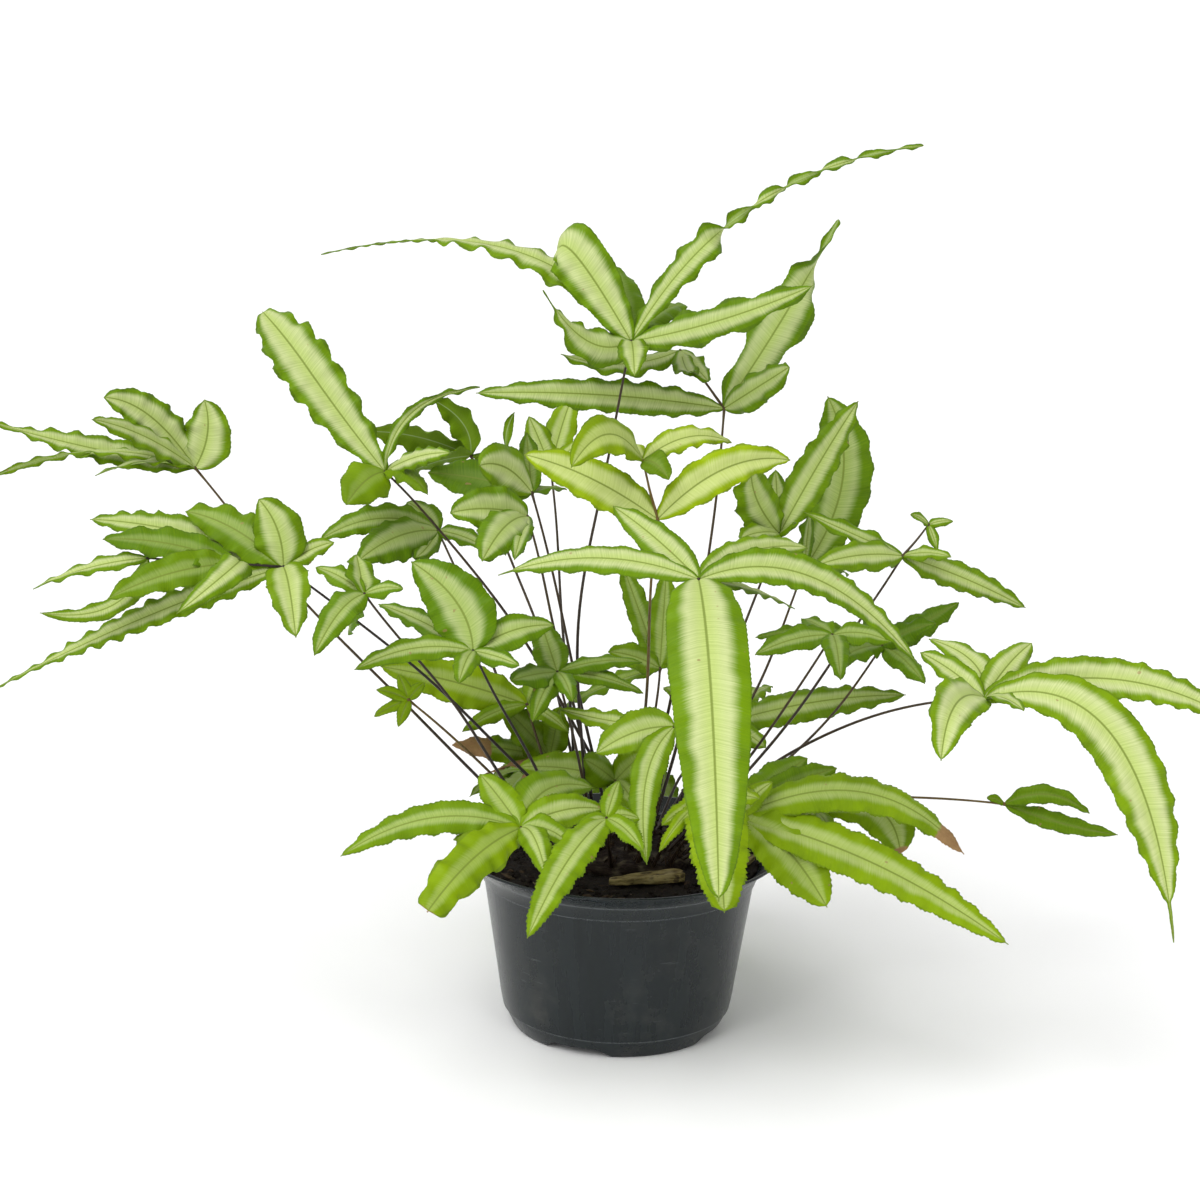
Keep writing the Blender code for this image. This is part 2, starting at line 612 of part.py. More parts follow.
def add_leaf(shape, base, leaf):
    """A closed blade with a flat upper face and a keel under its midrib."""
    stations, points, directions, tip = leaf_midrib(leaf, base)
    width = leaf.width * nearness(leaf.behind)
    sides = leaf_sides(points, directions, leaf)
    rings = []
    for t, point, direction, side in zip(stations, points, directions, sides):
        turned_side = Matrix.Rotation(math.radians(leaf.twist) * t, 3, direction) @ side
        under = direction.cross(turned_side)
        half = max(width * leaf_outline(t, leaf.belly), BLADE_FOOT_WIDTH) / 2
        keel = BLADE_KEEL * (1 - 0.5 * t)
        rings.append([
            shape.verts.new(point - turned_side * half),
            shape.verts.new(point + under * keel),
            shape.verts.new(point + turned_side * half),
        ])
    end = shape.verts.new(tip)
    shape.faces.new(reversed(rings[0]))
    for first, second in zip(rings, rings[1:]):
        join_rings(shape, first, second)
    for i in range(3):
        shape.faces.new((rings[-1][i], rings[-1][(i + 1) % 3], end))


def add_tube(shape, points, radii, sides=STALK_SIDES):
    """A closed tube through the points."""
    rings = []
    for i, (point, radius) in enumerate(zip(points, radii)):
        before, after = points[max(i - 1, 0)], points[min(i + 1, len(points) - 1)]
        direction = (after - before).normalized()
        across = direction.cross(Vector((0, 1, 0.01))).normalized()
        upright = direction.cross(across)
        rings.append([
            shape.verts.new(
                point
                + across * (radius * math.cos(2 * math.pi * k / sides))
                + upright * (radius * math.sin(2 * math.pi * k / sides))
            )
            for k in range(sides)
        ])
    shape.faces.new(reversed(rings[0]))
    for first, second in zip(rings, rings[1:]):
        join_rings(shape, first, second)
    shape.faces.new(rings[-1])


def add_frond(blades, knuckles, frond):
    """One frond's stalk and leaflets, and the knuckles where they meet."""
    foot = Vector((*frond.foot, FOOT_HEIGHT))
    nodes = [place(*node) for node in frond.nodes]
    control = (foot + nodes[0]) / 2 + Vector(frond.sway) * 2
    stalk = [bezier(foot, control, nodes[0], i / STALK_BANDS) for i in range(STALK_BANDS + 1)]
    narrowing = (STALK_TOP_RADIUS - STALK_FOOT_RADIUS) / STALK_BANDS
    add_tube(blades, stalk, [STALK_FOOT_RADIUS + narrowing * i for i in range(STALK_BANDS + 1)])
    for first, second in zip(nodes, nodes[1:]):
        add_tube(blades, [first, second], [STALK_TOP_RADIUS] * 2)
    for leaf in frond.leaves:
        add_leaf(blades, nodes[leaf.node], leaf)
    for node in nodes:
        bmesh.ops.create_icosphere(knuckles, subdivisions=1, radius=KNUCKLE_RADIUS, matrix=Matrix.Translation(node))


def build_fern():
    """The whole fern as a single body: rhizome, stalks, knuckles and leaflets in one union."""
    blades = rhizome_shape()
    knuckles = bmesh.new()
    for frond in FRONDS:
        add_frond(blades, knuckles, frond)
    for shape in (blades, knuckles):
        bmesh.ops.recalc_face_normals(shape, faces=shape.faces)
    fern = new_object("fern", blades, "fern")
    knots = new_object("fern_knuckles", knuckles, "fern")
    knots.hide_render = True
    knots.display_type = "WIRE"
    union = fern.modifiers.new("grown_together", "BOOLEAN")
    union.operation = "UNION"
    union.solver = "EXACT"
    union.use_self = True
    union.object = knots


def main():
    clear_scene()
    build_pot()
    build_soil()
    build_bark()
    build_fern()


main()
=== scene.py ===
"""The looks of a potted Cretan brake fern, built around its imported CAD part.

Lengths are millimetres where a name says nothing else; meshes are made in metres.
"""

import math
from typing import NamedTuple

import bmesh
import bpy
import numpy as np
from mathutils import Euler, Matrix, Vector, noise


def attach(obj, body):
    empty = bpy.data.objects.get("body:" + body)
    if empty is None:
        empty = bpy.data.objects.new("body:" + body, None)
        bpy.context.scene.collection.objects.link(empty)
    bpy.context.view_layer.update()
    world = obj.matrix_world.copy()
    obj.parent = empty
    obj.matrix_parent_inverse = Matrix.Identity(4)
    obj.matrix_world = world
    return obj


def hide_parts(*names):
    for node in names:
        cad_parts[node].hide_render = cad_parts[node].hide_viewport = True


bl_info = {
    "name": "Potted Fern",
    "version": (1, 0, 0),
    "blender": (4, 5, 0),
    "location": "View3D > Sidebar > Fern",
    "description": "Builds a potted Cretan brake fern with striped leaflets",
    "category": "Add Mesh",
}

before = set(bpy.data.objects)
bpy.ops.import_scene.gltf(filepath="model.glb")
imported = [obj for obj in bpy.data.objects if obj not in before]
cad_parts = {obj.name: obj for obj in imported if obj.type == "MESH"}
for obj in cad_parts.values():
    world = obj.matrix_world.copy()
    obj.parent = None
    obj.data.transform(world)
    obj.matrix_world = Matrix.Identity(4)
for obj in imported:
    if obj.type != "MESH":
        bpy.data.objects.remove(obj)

MM = 0.001

# The eye from which the fronds' points were read, on the upright plane through the pot's axis
EYE = np.array((-12.5, -1438.0, 586.0))
EYE_TILT = math.radians(14.26)
EYE_ROLL = math.radians(1.19)
LENS = 90.0
SENSOR = 36.0

# How much further from the plane a leaflet stands than its behind says
DEPTH = 1.3

# Pot: radii and heights of its outer face, its inner face and its recessed underside
POT_OUTSIDE = (
    (51.6, 0.0), (52.6, 0.4), (53.2, 1.2), (57.1, 9.2), (57.2, 9.6), (57.9, 10.1), (58.6, 13.6),
    (59.4, 18.0), (59.9, 22.0), (64.0, 49.0), (68.2, 76.6), (68.4, 77.2), (69.2, 77.8), (69.6, 79.0),
    (71.6, 83.6), (75.3, 88.0), (80.2, 91.6), (81.7, 92.4), (82.4, 93.0), (82.5, 93.5),
)
POT_INSIDE = (
    (82.1, 94.0), (81.2, 94.0), (80.5, 93.5), (78.6, 92.4), (73.7, 88.8), (70.0, 84.6), (67.8, 79.2),
    (66.6, 77.0), (62.3, 49.0), (58.2, 22.0), (55.8, 11.0), (52.6, 7.2), (50.0, 6.6),
)
POT_UNDERSIDE = ((46.0, 5.2), (49.4, 5.0), (49.9, 4.4), (50.3, 0.4), (50.7, 0.0))
TURNED_SIDES = 128

# Heights of the pot's edges where pale lines are painted as highlights
HIGHLIGHT_EDGE_HEIGHTS = (9.7, 77.6, 85.2)

# Drain notches in the foot: the first one's place, and how much wider they are at the floor
NOTCH_COUNT = 4
NOTCH_TURN = math.radians(-112.0)
NOTCH_RADIUS = 53.0
NOTCH_DEPTH = 14.0
NOTCH_SPREAD = 2.1
NOTCH_ROUNDING = 1.2

# Soil and crown
SOIL_FLOOR = 6.9
SOIL_EDGE_HEIGHT = 86.5
SOIL_TOP_HEIGHT = 88.0
SOIL_RADIUS = 70.5
BARK_BIT_COUNT = 90
CROWN_RADIUS = 42.0
CROWN_FRONT_RADIUS = 34.0
CROWN_TOP = 93.0
CROWN_SIDES = 96
SCALES_PER_STALK = 9
FOOT_HEIGHT = CROWN_TOP - 3.0

# Blade columns from one margin to the other, as parts of the half width
COLUMNS = (-1.0, -0.86, -0.58, -0.24, 0.0, 0.24, 0.58, 0.86, 1.0)

# One tooth of a margin, row by row
TOOTH = np.array((-0.4, 0.1, 0.6))
FEWEST_ROWS = 14

# A leaflet up to this long has finer teeth
SHORT_LEAF = 45.0
SHORT_LEAF_TEETH = 0.75

# How much wider a wavy blade is than the flat one it is read as
WIDTH_GAIN = 1.05
FULLNESS = 1.5

# Past this many degrees a twist is left to the blade's far part
STRONG_TWIST = 90
HOOK_FROM = 0.6

# Stalks: sides, points, and radii from foot to knuckle, then steps along a knuckle and their radii
STALK_SIDES = 8
STALK_POINTS = 34
STALK_RADII = ((0, 1.5), (0.06, 1.0), (0.2, 0.85), (1, 0.58))
KNUCKLE = ((-1.15, 0.8), (-0.6, 1.05), (0.0, 1.1), (0.6, 0.8), (1.0, 0.25))
STALK_SEED = 900
RACHIS_SEED = 950

# Material slots of a frond, and the gap around each cell of its map
UPPER, UNDER, STALK = range(3)
MAP_GAP = 0.004

# Colours that the settings leave alone
LEAF_RIM = (0.05, 0.085, 0.012)
RIB_TOP = (0.155, 0.205, 0.03)
RIB_UNDER = (0.30, 0.40, 0.16)
DRY_DARK = (0.16, 0.075, 0.03)
DRY_LIGHT = (0.40, 0.26, 0.12)
STALK_STREAK = (0.028, 0.016, 0.010)
YOUNG_STALK_STREAK = (0.150, 0.105, 0.020)
POT_DUST = (0.16, 0.15, 0.13)
# Pale colour of the scuffs, and of the painted highlight lines along the pot's edges
POT_SCUFF_AND_HIGHLIGHT = (0.2, 0.22, 0.23)
PEAT_FIBRE = (0.07, 0.038, 0.02)
PEAT_SPECK = (0.32, 0.27, 0.2)
BARK_CRACK = (0.02, 0.012, 0.007)
BARK_WEATHERED = (0.42, 0.36, 0.22)

# Darker and lighter colour of each kind of bark and husk
BARKS = {
    "Rhizome": ((0.005, 0.003, 0.002), (0.020, 0.012, 0.008)),
    "Rhizome scales": ((0.008, 0.005, 0.003), (0.040, 0.022, 0.012)),
    "Bark": ((0.085, 0.062, 0.022), (0.250, 0.200, 0.080)),
    "Bark bits": ((0.012, 0.007, 0.004), (0.055, 0.034, 0.018)),
}

# Lights: the key light's tilts and spread in degrees, and the two tall lamps in metres
KEY_TILTS = (28, -24)
KEY_SPREAD = 50
STRIP_LAMPS = {"left_strip": (-1.2, -1.65, 0.6), "right_strip": (0.9, -1.8, 0.6)}
STRIP_SIZE = (0.3, 1.4)
STRIP_AIM = Vector((0, 0, 0.1))
FLOOR_SIZE = 30


class Leaf(NamedTuple):
    """One leaflet: its tip as seen (across, up) and how far behind the plane, its width, and its pose.

    arch is how far the midrib's middle stands above the straight line from base to tip, bow the same
    to the right and to the back. tilt turns the upper face from the sky towards the front, in degrees,
    lean turns it to the right, and twist turns it on from the base to the tip. belly is where along the
    midrib the blade is widest, and hook moves the end of the blade on from there.
    """

    across: float
    up: float
    behind: float
    width: float
    arch: float = 4
    tilt: float = 60
    lean: float = 0
    twist: float = 0
    bow: tuple = (0, 0)
    node: int = 0
    belly: float = 0.36
    hook: tuple = (0, 0, 0)


class Frond(NamedTuple):
    """One frond: the foot of its stalk on the crown, the stalk's sway, its nodes and its leaflets."""

    name: str
    foot: tuple
    nodes: tuple
    leaves: tuple
    sway: tuple = (0, 0, 0)


FRONDS = (
    # The top of the plant
    Frond("frond_01_top", (-15, 4), ((0, 350, 0),), (
        Leaf(-36, 391, 12, 25, 20, 74, bow=(-9, 0), belly=0.5),
        Leaf(-150, 389, 44, 15, 24, 55, twist=70, bow=(17, 0)),
        Leaf(137, 447, 15, 13, 18, 60, twist=1130, bow=(-12, 0)),
        Leaf(87, 379, -20, 15, -3, 58, twist=30),
        Leaf(-43, 374, -15, 18, -12, 60, twist=40),
        Leaf(2, 333, -28, 13, 4, 55),
        Leaf(-9, 386, 35, 18, 4, 25),
        Leaf(26, 368, 34, 15, 5, 25),
    ), sway=(-9, 0, 0)),
    Frond("frond_02_top_right", (14, 8), ((46, 318, 35), (24, 346, 42)), (
        Leaf(-75, 323, 25, 15, 3, 62),
        Leaf(98, 411, 60, 21, 0, 66, twist=200, bow=(2, 0), belly=0.45),
        Leaf(77, 339, 15, 15, 0, 60),
        Leaf(38, 331, 20, 11, 0, 40, node=1),
        Leaf(-34, 343, 20, 13, -6, 30, node=1),
        Leaf(30, 336, 5, 10, -4, 30, node=1),
    ), sway=(6, 6, 0)),
    # The left side
    Frond("frond_03_left_tall", (8, 16), ((-119, 283, 60),), (
        Leaf(-178, 366, 95, 24, 0, 72, lean=8, bow=(-2, 0), belly=0.66, hook=(-2, 14, -8)),
        Leaf(-87, 293, 25, 9, 3, 55, lean=-10),
        Leaf(-73, 326, 40, 5, 9, 45, twist=90, bow=(-10, 0)),
        Leaf(-138, 266, 40, 22, 4, 62),
        Leaf(-98, 272, 40, 11, 6, 20),
    ), sway=(4, 0, 14)),
    Frond("frond_04_far_left", (-36, 7), ((-212, 283, 60),), (
        Leaf(-207, 317, 58, 22, 0, 66, bow=(4, 0)),
        Leaf(-256, 317, 45, 18, 9, 55),
        Leaf(-262, 306, 25, 13, 4, 45),
        Leaf(-321, 306, 55, 14, -2, 48, twist=20),
        Leaf(-312, 276, 40, 7, 11, 35, twist=120),
        Leaf(-261, 278, 30, 9, 5, 25, twist=40),
    ), sway=(4, 0, -10)),
    Frond("frond_05_left_front", (-6, -4), ((-169, 234, -25), (-193, 235, -28), (-236, 237, -30)), (
        Leaf(-181, 268, -20, 23, 2, 60, bow=(3, 0)),
        Leaf(-217, 261, -5, 20, 5, 52),
        Leaf(-144, 247, -15, 10, 2, 50),
        Leaf(-163, 198, -60, 20, 6, 66),
        Leaf(-312, 169, -35, 15, 4, 55, twist=40),
        Leaf(-264, 256, 10, 16, 5, 55),
        Leaf(-258, 246, -30, 16, 4, 50, node=1),
        Leaf(-256, 216, -45, 17, 4, 58, node=1),
        Leaf(-222, 209, -62, 15, 10, 60, bow=(12, 0), node=1),
        Leaf(-293, 220, -35, 9, 3, 55, twist=60, node=2),
        Leaf(-290, 208, -48, 9, -10, 60, bow=(8, 0), node=2),
    ), sway=(0, 0, 8)),
    Frond("frond_06_left_low", (-28, -14), ((-129, 221, -55),), (
        Leaf(-153, 234, -42, 10, 2, 40),
        Leaf(-133, 241, -40, 15, 0, 45, lean=30),
        Leaf(-154, 189, -80, 15, 6, 60),
        Leaf(-110, 224, -60, 8, 2, 45),
        Leaf(-137, 200, -30, 13, 3, 50),
    ), sway=(-4, 0, 4)),
    Frond("frond_07_left_middle", (-20, -13), ((-75, 193, -45),), (
        Leaf(-106, 238, -30, 29, 2, 66, bow=(7, 0)),
        Leaf(-122, 216, -12, 12, 2, 35),
        Leaf(-134, 182, -55, 12, 6, 48),
        Leaf(-35, 207, -30, 17, 4, 50),
        Leaf(-52, 186, -58, 9, 1, 45),
        Leaf(-82, 176, -78, 11, 3, 50),
    ), sway=(-2, 0, 2)),
    Frond("frond_08_middle", (-10, -8), ((-33, 183, -25),), (
        Leaf(-56, 178, -42, 15, 1, 40),
        Leaf(-42, 210, -8, 15, 0, 55),
        Leaf(9, 189, -8, 9, 3, 30),
        Leaf(10, 173, -14, 9, 3, 40),
        Leaf(-45, 157, -48, 11, 4, 50),
        Leaf(-25, 168, -50, 9, 3, 50),
    )),
    Frond("frond_09_left_behind", (-20, 10), ((-48, 166, 20),), (
        Leaf(-121, 184, 15, 20, 2, 62),
        Leaf(-80, 151, 5, 8, 3, 55),
        Leaf(-27, 152, 16, 9, 2, 30),
        Leaf(-34, 190, 50, 10, 3, 10),
        Leaf(-75, 165, 62, 13, 5, 15),
    ), sway=(-2, 0, 0)),
    # The front
    Frond("frond_10_front_left", (-18, -24), ((-50, 101, -75),), (
        Leaf(-141, 84, -72, 15, 12, 56),
        Leaf(-84, 94, -74, 10, 1, 60),
        Leaf(-97, 55, -115, 22, 6, 66),
        Leaf(-71, 129, -62, 16, 1, 60),
        Leaf(-14, 123, -48, 21, 9, 58, bow=(-5, 0)),
        Leaf(-9, 112, -66, 17, 4, 60),
        Leaf(-36, 73, -104, 13, 8, 62),
        Leaf(-24, 92, -82, 12, 4, 50),
    ), sway=(0, 4, 8)),
    Frond("frond_11_front", (-4, -26), ((-7, 107, -78),), (
        Leaf(-46, 42, -130, 19, 8, 64, lean=-10),
        Leaf(-22, 98, -88, 9, 2, 55),
        Leaf(10, 107, -72, 10, 2, 50),
        Leaf(-1, 127, -62, 9, 2, 40),
        Leaf(12, 90, -98, 10, 3, 50),
    ), sway=(0, 2, 6)),
    Frond("frond_12_front_big", (12, -14), ((36, 232, -100),), (
        Leaf(51, 64, -162, 39, 24, 62, bow=(0, -14)),
        Leaf(-63, 232, -88, 15, 9, 42),
        Leaf(-7, 268, -72, 16, 2, 50),
        Leaf(89, 249, -70, 17, 6, 48),
        Leaf(145, 192, -78, 17, 21, 50),
        Leaf(84, 218, -60, 10, 3, 20),
    ), sway=(0, 8, 14)),
    Frond("frond_13_young", (5, -6), ((15, 262, -62), (7, 291, -58)), (
        Leaf(-51, 293, -60, 20, 4, 58, lean=-10),
        Leaf(79, 293, -52, 18, 10, 60, twist=40),
        Leaf(-4, 267, -54, 9, 1, 40),
        Leaf(-28, 287, -84, 20, 14, 60, node=1),
        Leaf(50, 301, -40, 12, 7, 45, node=1),
        Leaf(20, 282, -66, 12, 3, 50, node=1),
        Leaf(-8, 303, -30, 12, 2, -20, node=1),
    ), sway=(-2, 0, 4)),
    Frond("frond_14_back_middle", (-24, 20), ((-38, 286, 85),), (
        Leaf(-49, 312, 95, 12, 1, 45),
        Leaf(-28, 322, 110, 13, 3, 50),
        Leaf(-12, 306, 80, 10, 3, 25),
        Leaf(-20, 289, 62, 8, 2, 10),
    ), sway=(4, 0, 0)),
    # The cluster left of the middle
    Frond("frond_15_cluster_back", (-14, 26), ((-77, 292, 105),), (
        Leaf(-131, 303, 100, 19, 4, -45),
        Leaf(-95, 319, 115, 18, 2, -50, bow=(6, 0)),
        Leaf(-114, 279, 85, 18, 3, -40),
        Leaf(-58, 291, 115, 9, 2, -20),
    ), sway=(4, 0, 0)),
    Frond("frond_16_cluster_top", (-4, 10), ((-47, 274, 30),), (
        Leaf(-73, 287, 14, 22, 6, 60, belly=0.45),
        Leaf(-56, 314, 35, 7, 0, 50, twist=200, bow=(-8, 0)),
        Leaf(-50, 304, 45, 10, 0, 45),
        Leaf(-98, 283, 40, 21, 2, 50),
        Leaf(-30, 276, 50, 7, 2, 10),
    ), sway=(3, 0, 0)),
    Frond("frond_17_cluster_low", (-12, 16), ((-49, 262, -2),), (
        Leaf(-87, 263, -14, 21, 3, 62),
        Leaf(-71, 239, -42, 22, 6, 64),
        Leaf(-55, 240, -40, 9, 2, 50),
    ), sway=(4, 0, 2)),
    Frond("frond_18_cluster_left", (-30, 6), ((-93, 254, 74),), (
        Leaf(-151, 248, 66, 14, 9, 55),
        Leaf(-132, 238, 44, 22, 5, 58),
        Leaf(-66, 244, 60, 9, 2, 40),
        Leaf(-104, 240, 52, 9, -2, 60),
        Leaf(-108, 268, 92, 13, 2, 40),
    ), sway=(2, 0, 4)),
    # The right side
    Frond("frond_19_right_upright", (22, 4), ((75, 256, 25),), (
        Leaf(60, 289, 10, 20, 0, 62, bow=(-4, 0)),
        Leaf(72, 288, 42, 12, 0, 40),
        Leaf(111, 323, 45, 17, 2, 60, twist=30),
        Leaf(56, 253, 0, 14, 2, 40),
        Leaf(82, 262, 18, 7, 0, 30),
    )),
    Frond("frond_20_right_broad", (24, 16), ((88, 239, 80),), (
        Leaf(96, 325, 95, 26, 2, 66, bow=(14, 0), belly=0.5),
        Leaf(90, 279, 60, 6, 2, 50, twist=120),
        Leaf(110, 236, 95, 10, 3, 20),
    ), sway=(4, 0, 0)),
    Frond("frond_21_right_node", (30, 8), ((136, 246, 30), (148, 262, 34)), (
        Leaf(93, 240, 5, 15, 3, 55),
        Leaf(87, 267, 25, 9, 0, 45),
        Leaf(198, 221, 35, 12, 2, 50, twist=50),
        Leaf(160, 246, 22, 8, 2, 35),
        Leaf(153, 249, 30, 4, 1, 50, node=1),
        Leaf(139, 267, 30, 4, 1, 50, node=1),
        Leaf(160, 264, 36, 4, 1, 50, node=1),
    ), sway=(4, 0, -4)),
    Frond("frond_22_right_dark", (30, -2), ((128, 200, 45),), (
        Leaf(65, 203, 55, 13, 5, 30),
        Leaf(165, 223, 60, 12, 0, 45),
        Leaf(154, 212, 35, 11, 2, 40),
        Leaf(150, 181, 25, 11, 3, 45),
        Leaf(121, 222, 85, 12, 2, 20),
        Leaf(104, 190, 20, 12, 3, 40),
    ), sway=(4, 0, -6)),
    Frond("frond_23_right_inner", (22, -6), ((103, 205, -5),), (
        Leaf(65, 194, -12, 12, 3, 45),
        Leaf(108, 182, -40, 12, 5, 55),
        Leaf(132, 202, -12, 12, 3, 40),
        Leaf(88, 213, 18, 10, 1, 20),
    ), sway=(2, 0, -4)),
    Frond("frond_24_right_big", (32, -12), ((180, 174, -62),), (
        Leaf(306, 165, -58, 20, 15, 52),
        Leaf(283, 47, -85, 28, 42, 58, bow=(13, 0), belly=0.6),
        Leaf(160, 141, -108, 24, 14, 60, bow=(-5, -8)),
        Leaf(147, 197, -50, 12, 2, 50),
        Leaf(151, 204, -22, 14, 3, 50, bow=(8, 0)),
        Leaf(202, 203, -35, 15, 3, 55),
        Leaf(200, 168, -95, 9, 3, 30),
    ), sway=(-12, 0, 20)),
    Frond("frond_25_right_long", (16, 20), ((50, 158, 50),), (
        Leaf(141, 175, 68, 15, 4, 54),
        Leaf(72, 146, 40, 12, 2, 45),
        Leaf(20, 176, 70, 13, 3, 15),
        Leaf(74, 178, 90, 12, 4, 0),
    )),
    Frond("frond_26_far_right", (33, 14), ((193, 119, 60),), (
        Leaf(236, 115, 55, 8, 8, 50, twist=60),
        Leaf(251, 104, 62, 8, -2, 45, twist=50),
        Leaf(184, 122, 58, 4, 1, 40),
    ), sway=(-16, 0, 12)),
    Frond("frond_27_front_right", (24, -24), ((58, 109, -62),), (
        Leaf(199, 44, -80, 22, 9, 54),
        Leaf(174, 92, -55, 18, 22, 50, bow=(5, 0)),
        Leaf(106, 62, -72, 27, 9, 62, belly=0.6),
        Leaf(93, 141, -36, 18, 2, 58, belly=0.55),
        Leaf(108, 136, -40, 14, 3, 55, belly=0.55),
        Leaf(76, 128, -64, 10, 2, 50),
    ), sway=(0, 4, 8)),
    Frond("frond_28_right_curled", (28, -18), ((99, 112, -30),), (
        Leaf(142, 91, -48, 22, 13, 56, bow=(8, 0), belly=0.66),
        Leaf(84, 107, -40, 9, 2, 50),
        Leaf(106, 102, -50, 9, 2, 50),
        Leaf(95, 119, -14, 9, 1, 40),
    ), sway=(0, 0, 6)),
    Frond("frond_29_front_middle", (8, -24), ((26, 156, -52),), (
        Leaf(-13, 141, -50, 19, 4, 58),
        Leaf(-32, 164, -24, 11, -2, 40),
        Leaf(14, 83, -78, 15, 8, 62, bow=(-7, 0)),
        Leaf(52, 172, -48, 11, 2, 45),
    ), sway=(2, 0, 0)),
    Frond("frond_30_front_toothed", (16, -26), ((45, 118, -62),), (
        Leaf(54, 58, -112, 30, 10, 64),
        Leaf(21, 104, -76, 10, 2, 45),
        Leaf(20, 90, -90, 7, 5, 50),
        Leaf(70, 119, -78, 12, 2, 45),
    ), sway=(0, 2, 4)),
    # Small, dried and back fronds
    Frond("frond_31_unfolding", (-36, -1), ((-107, 167, -28),), (
        Leaf(-123, 172, -28, 5, 1, 50),
        Leaf(-112, 180, -22, 5, 1, 50),
        Leaf(-99, 176, -24, 5, 1, 50),
        Leaf(-124, 158, -32, 5, 1, 50),
        Leaf(-112, 153, -36, 5, 1, 50),
    ), sway=(14, 0, -6)),
    Frond("frond_32_brown_edged", (-27, 16), ((-36, 138, 30),), (
        Leaf(-85, 144, 18, 12, 2, 55),
        Leaf(-70, 128, 8, 5, 2, 50, twist=90),
        Leaf(-19, 126, 6, 11, 2, 40),
        Leaf(-50, 118, 34, 10, 2, 50),
        Leaf(-60, 164, 16, 17, 2, 50),
        Leaf(-31, 165, 24, 13, 1, 50),
    ), sway=(0, 0, 4)),
    Frond("frond_37_olive", (-6, -1), ((-3, 127, 2),), (
        Leaf(-52, 133, 12, 17, 3, 52),
        Leaf(-19, 138, -8, 15, 1, 55),
        Leaf(12, 142, -4, 15, 1, 55),
        Leaf(9, 110, -26, 13, 3, 58),
    ), sway=(0, 0, 2)),
    Frond("frond_33_behind_big_leaf", (10, 25), ((18, 186, 30),), (
        Leaf(-8, 194, 18, 12, 2, 55),
        Leaf(-32, 163, 54, 10, 3, 30),
        Leaf(26, 208, 45, 12, 1, 40),
        Leaf(-3, 242, 62, 11, 0, 50),
        Leaf(20, 236, 45, 13, 0, 60),
    ), sway=(2, 0, 0)),
    Frond("frond_34_back_left", (-25, 26), ((-42, 131, 80),), (
        Leaf(-66, 94, 122, 21, 12, -50, lean=-20),
        Leaf(-76, 117, 84, 15, 6, -20),
        Leaf(-26, 100, 124, 17, 9, -50),
        Leaf(-58, 129, 118, 15, 6, -20),
    ), sway=(0, 2, 17)),
    Frond("frond_35_back", (-4, 34), ((4, 133, 86),), (
        Leaf(0, 88, 138, 22, 16, -55),
        Leaf(-20, 116, 128, 15, 7, -40),
        Leaf(28, 112, 130, 16, 7, -40),
        Leaf(10, 134, 140, 14, 8, -20),
    ), sway=(0, 2, 17)),
    Frond("frond_36_back_right", (19, 28), ((46, 131, 78),), (
        Leaf(68, 92, 118, 20, 12, -50, lean=20),
        Leaf(78, 116, 80, 14, 6, -20),
        Leaf(34, 98, 128, 17, 9, -50),
        Leaf(60, 130, 116, 14, 6, -20),
    ), sway=(0, 2, 17)),
)

# Bark on the soil: middle, turn in degrees, length, width and thickness
BARK_CHIPS = {
    "bark_chip_front": ((13, -43.5, 91.1), 18, 38, 11, 5.4),
    "bark_chip_right": ((61, -12, 89.6), 62, 20, 9, 3.6),
    "bark_chip_back": ((-28, 54, 89.5), -30, 24, 8, 3.6),
}


class Look(NamedTuple):
    """How strong a pale band is, how yellow the green, how dark, how wavy the blade, and how toothed."""

    stripe: float = 0.75
    lime: float = 0.35
    dark: float = 0.15
    waves: float = 1.0
    teeth: float = 1.0


class Shape(NamedTuple):
    """What is unusual about one blade's outline.

    tail is where a long thin end starts along it and how wide that is, as a part of the blade's width.
    widening and narrowing are powers: the smaller, the blunter that end. lobes is the length and depth
    of the swings of its margins, in millimetres. twist_from is where along it a strong twist begins.
    """

    tail: tuple = (0.99, 0.02)
    widening: float = 0.55
    narrowing: float = 0.58
    lobes: tuple = (11.0, 0.75)
    twist_from: float = 0.25


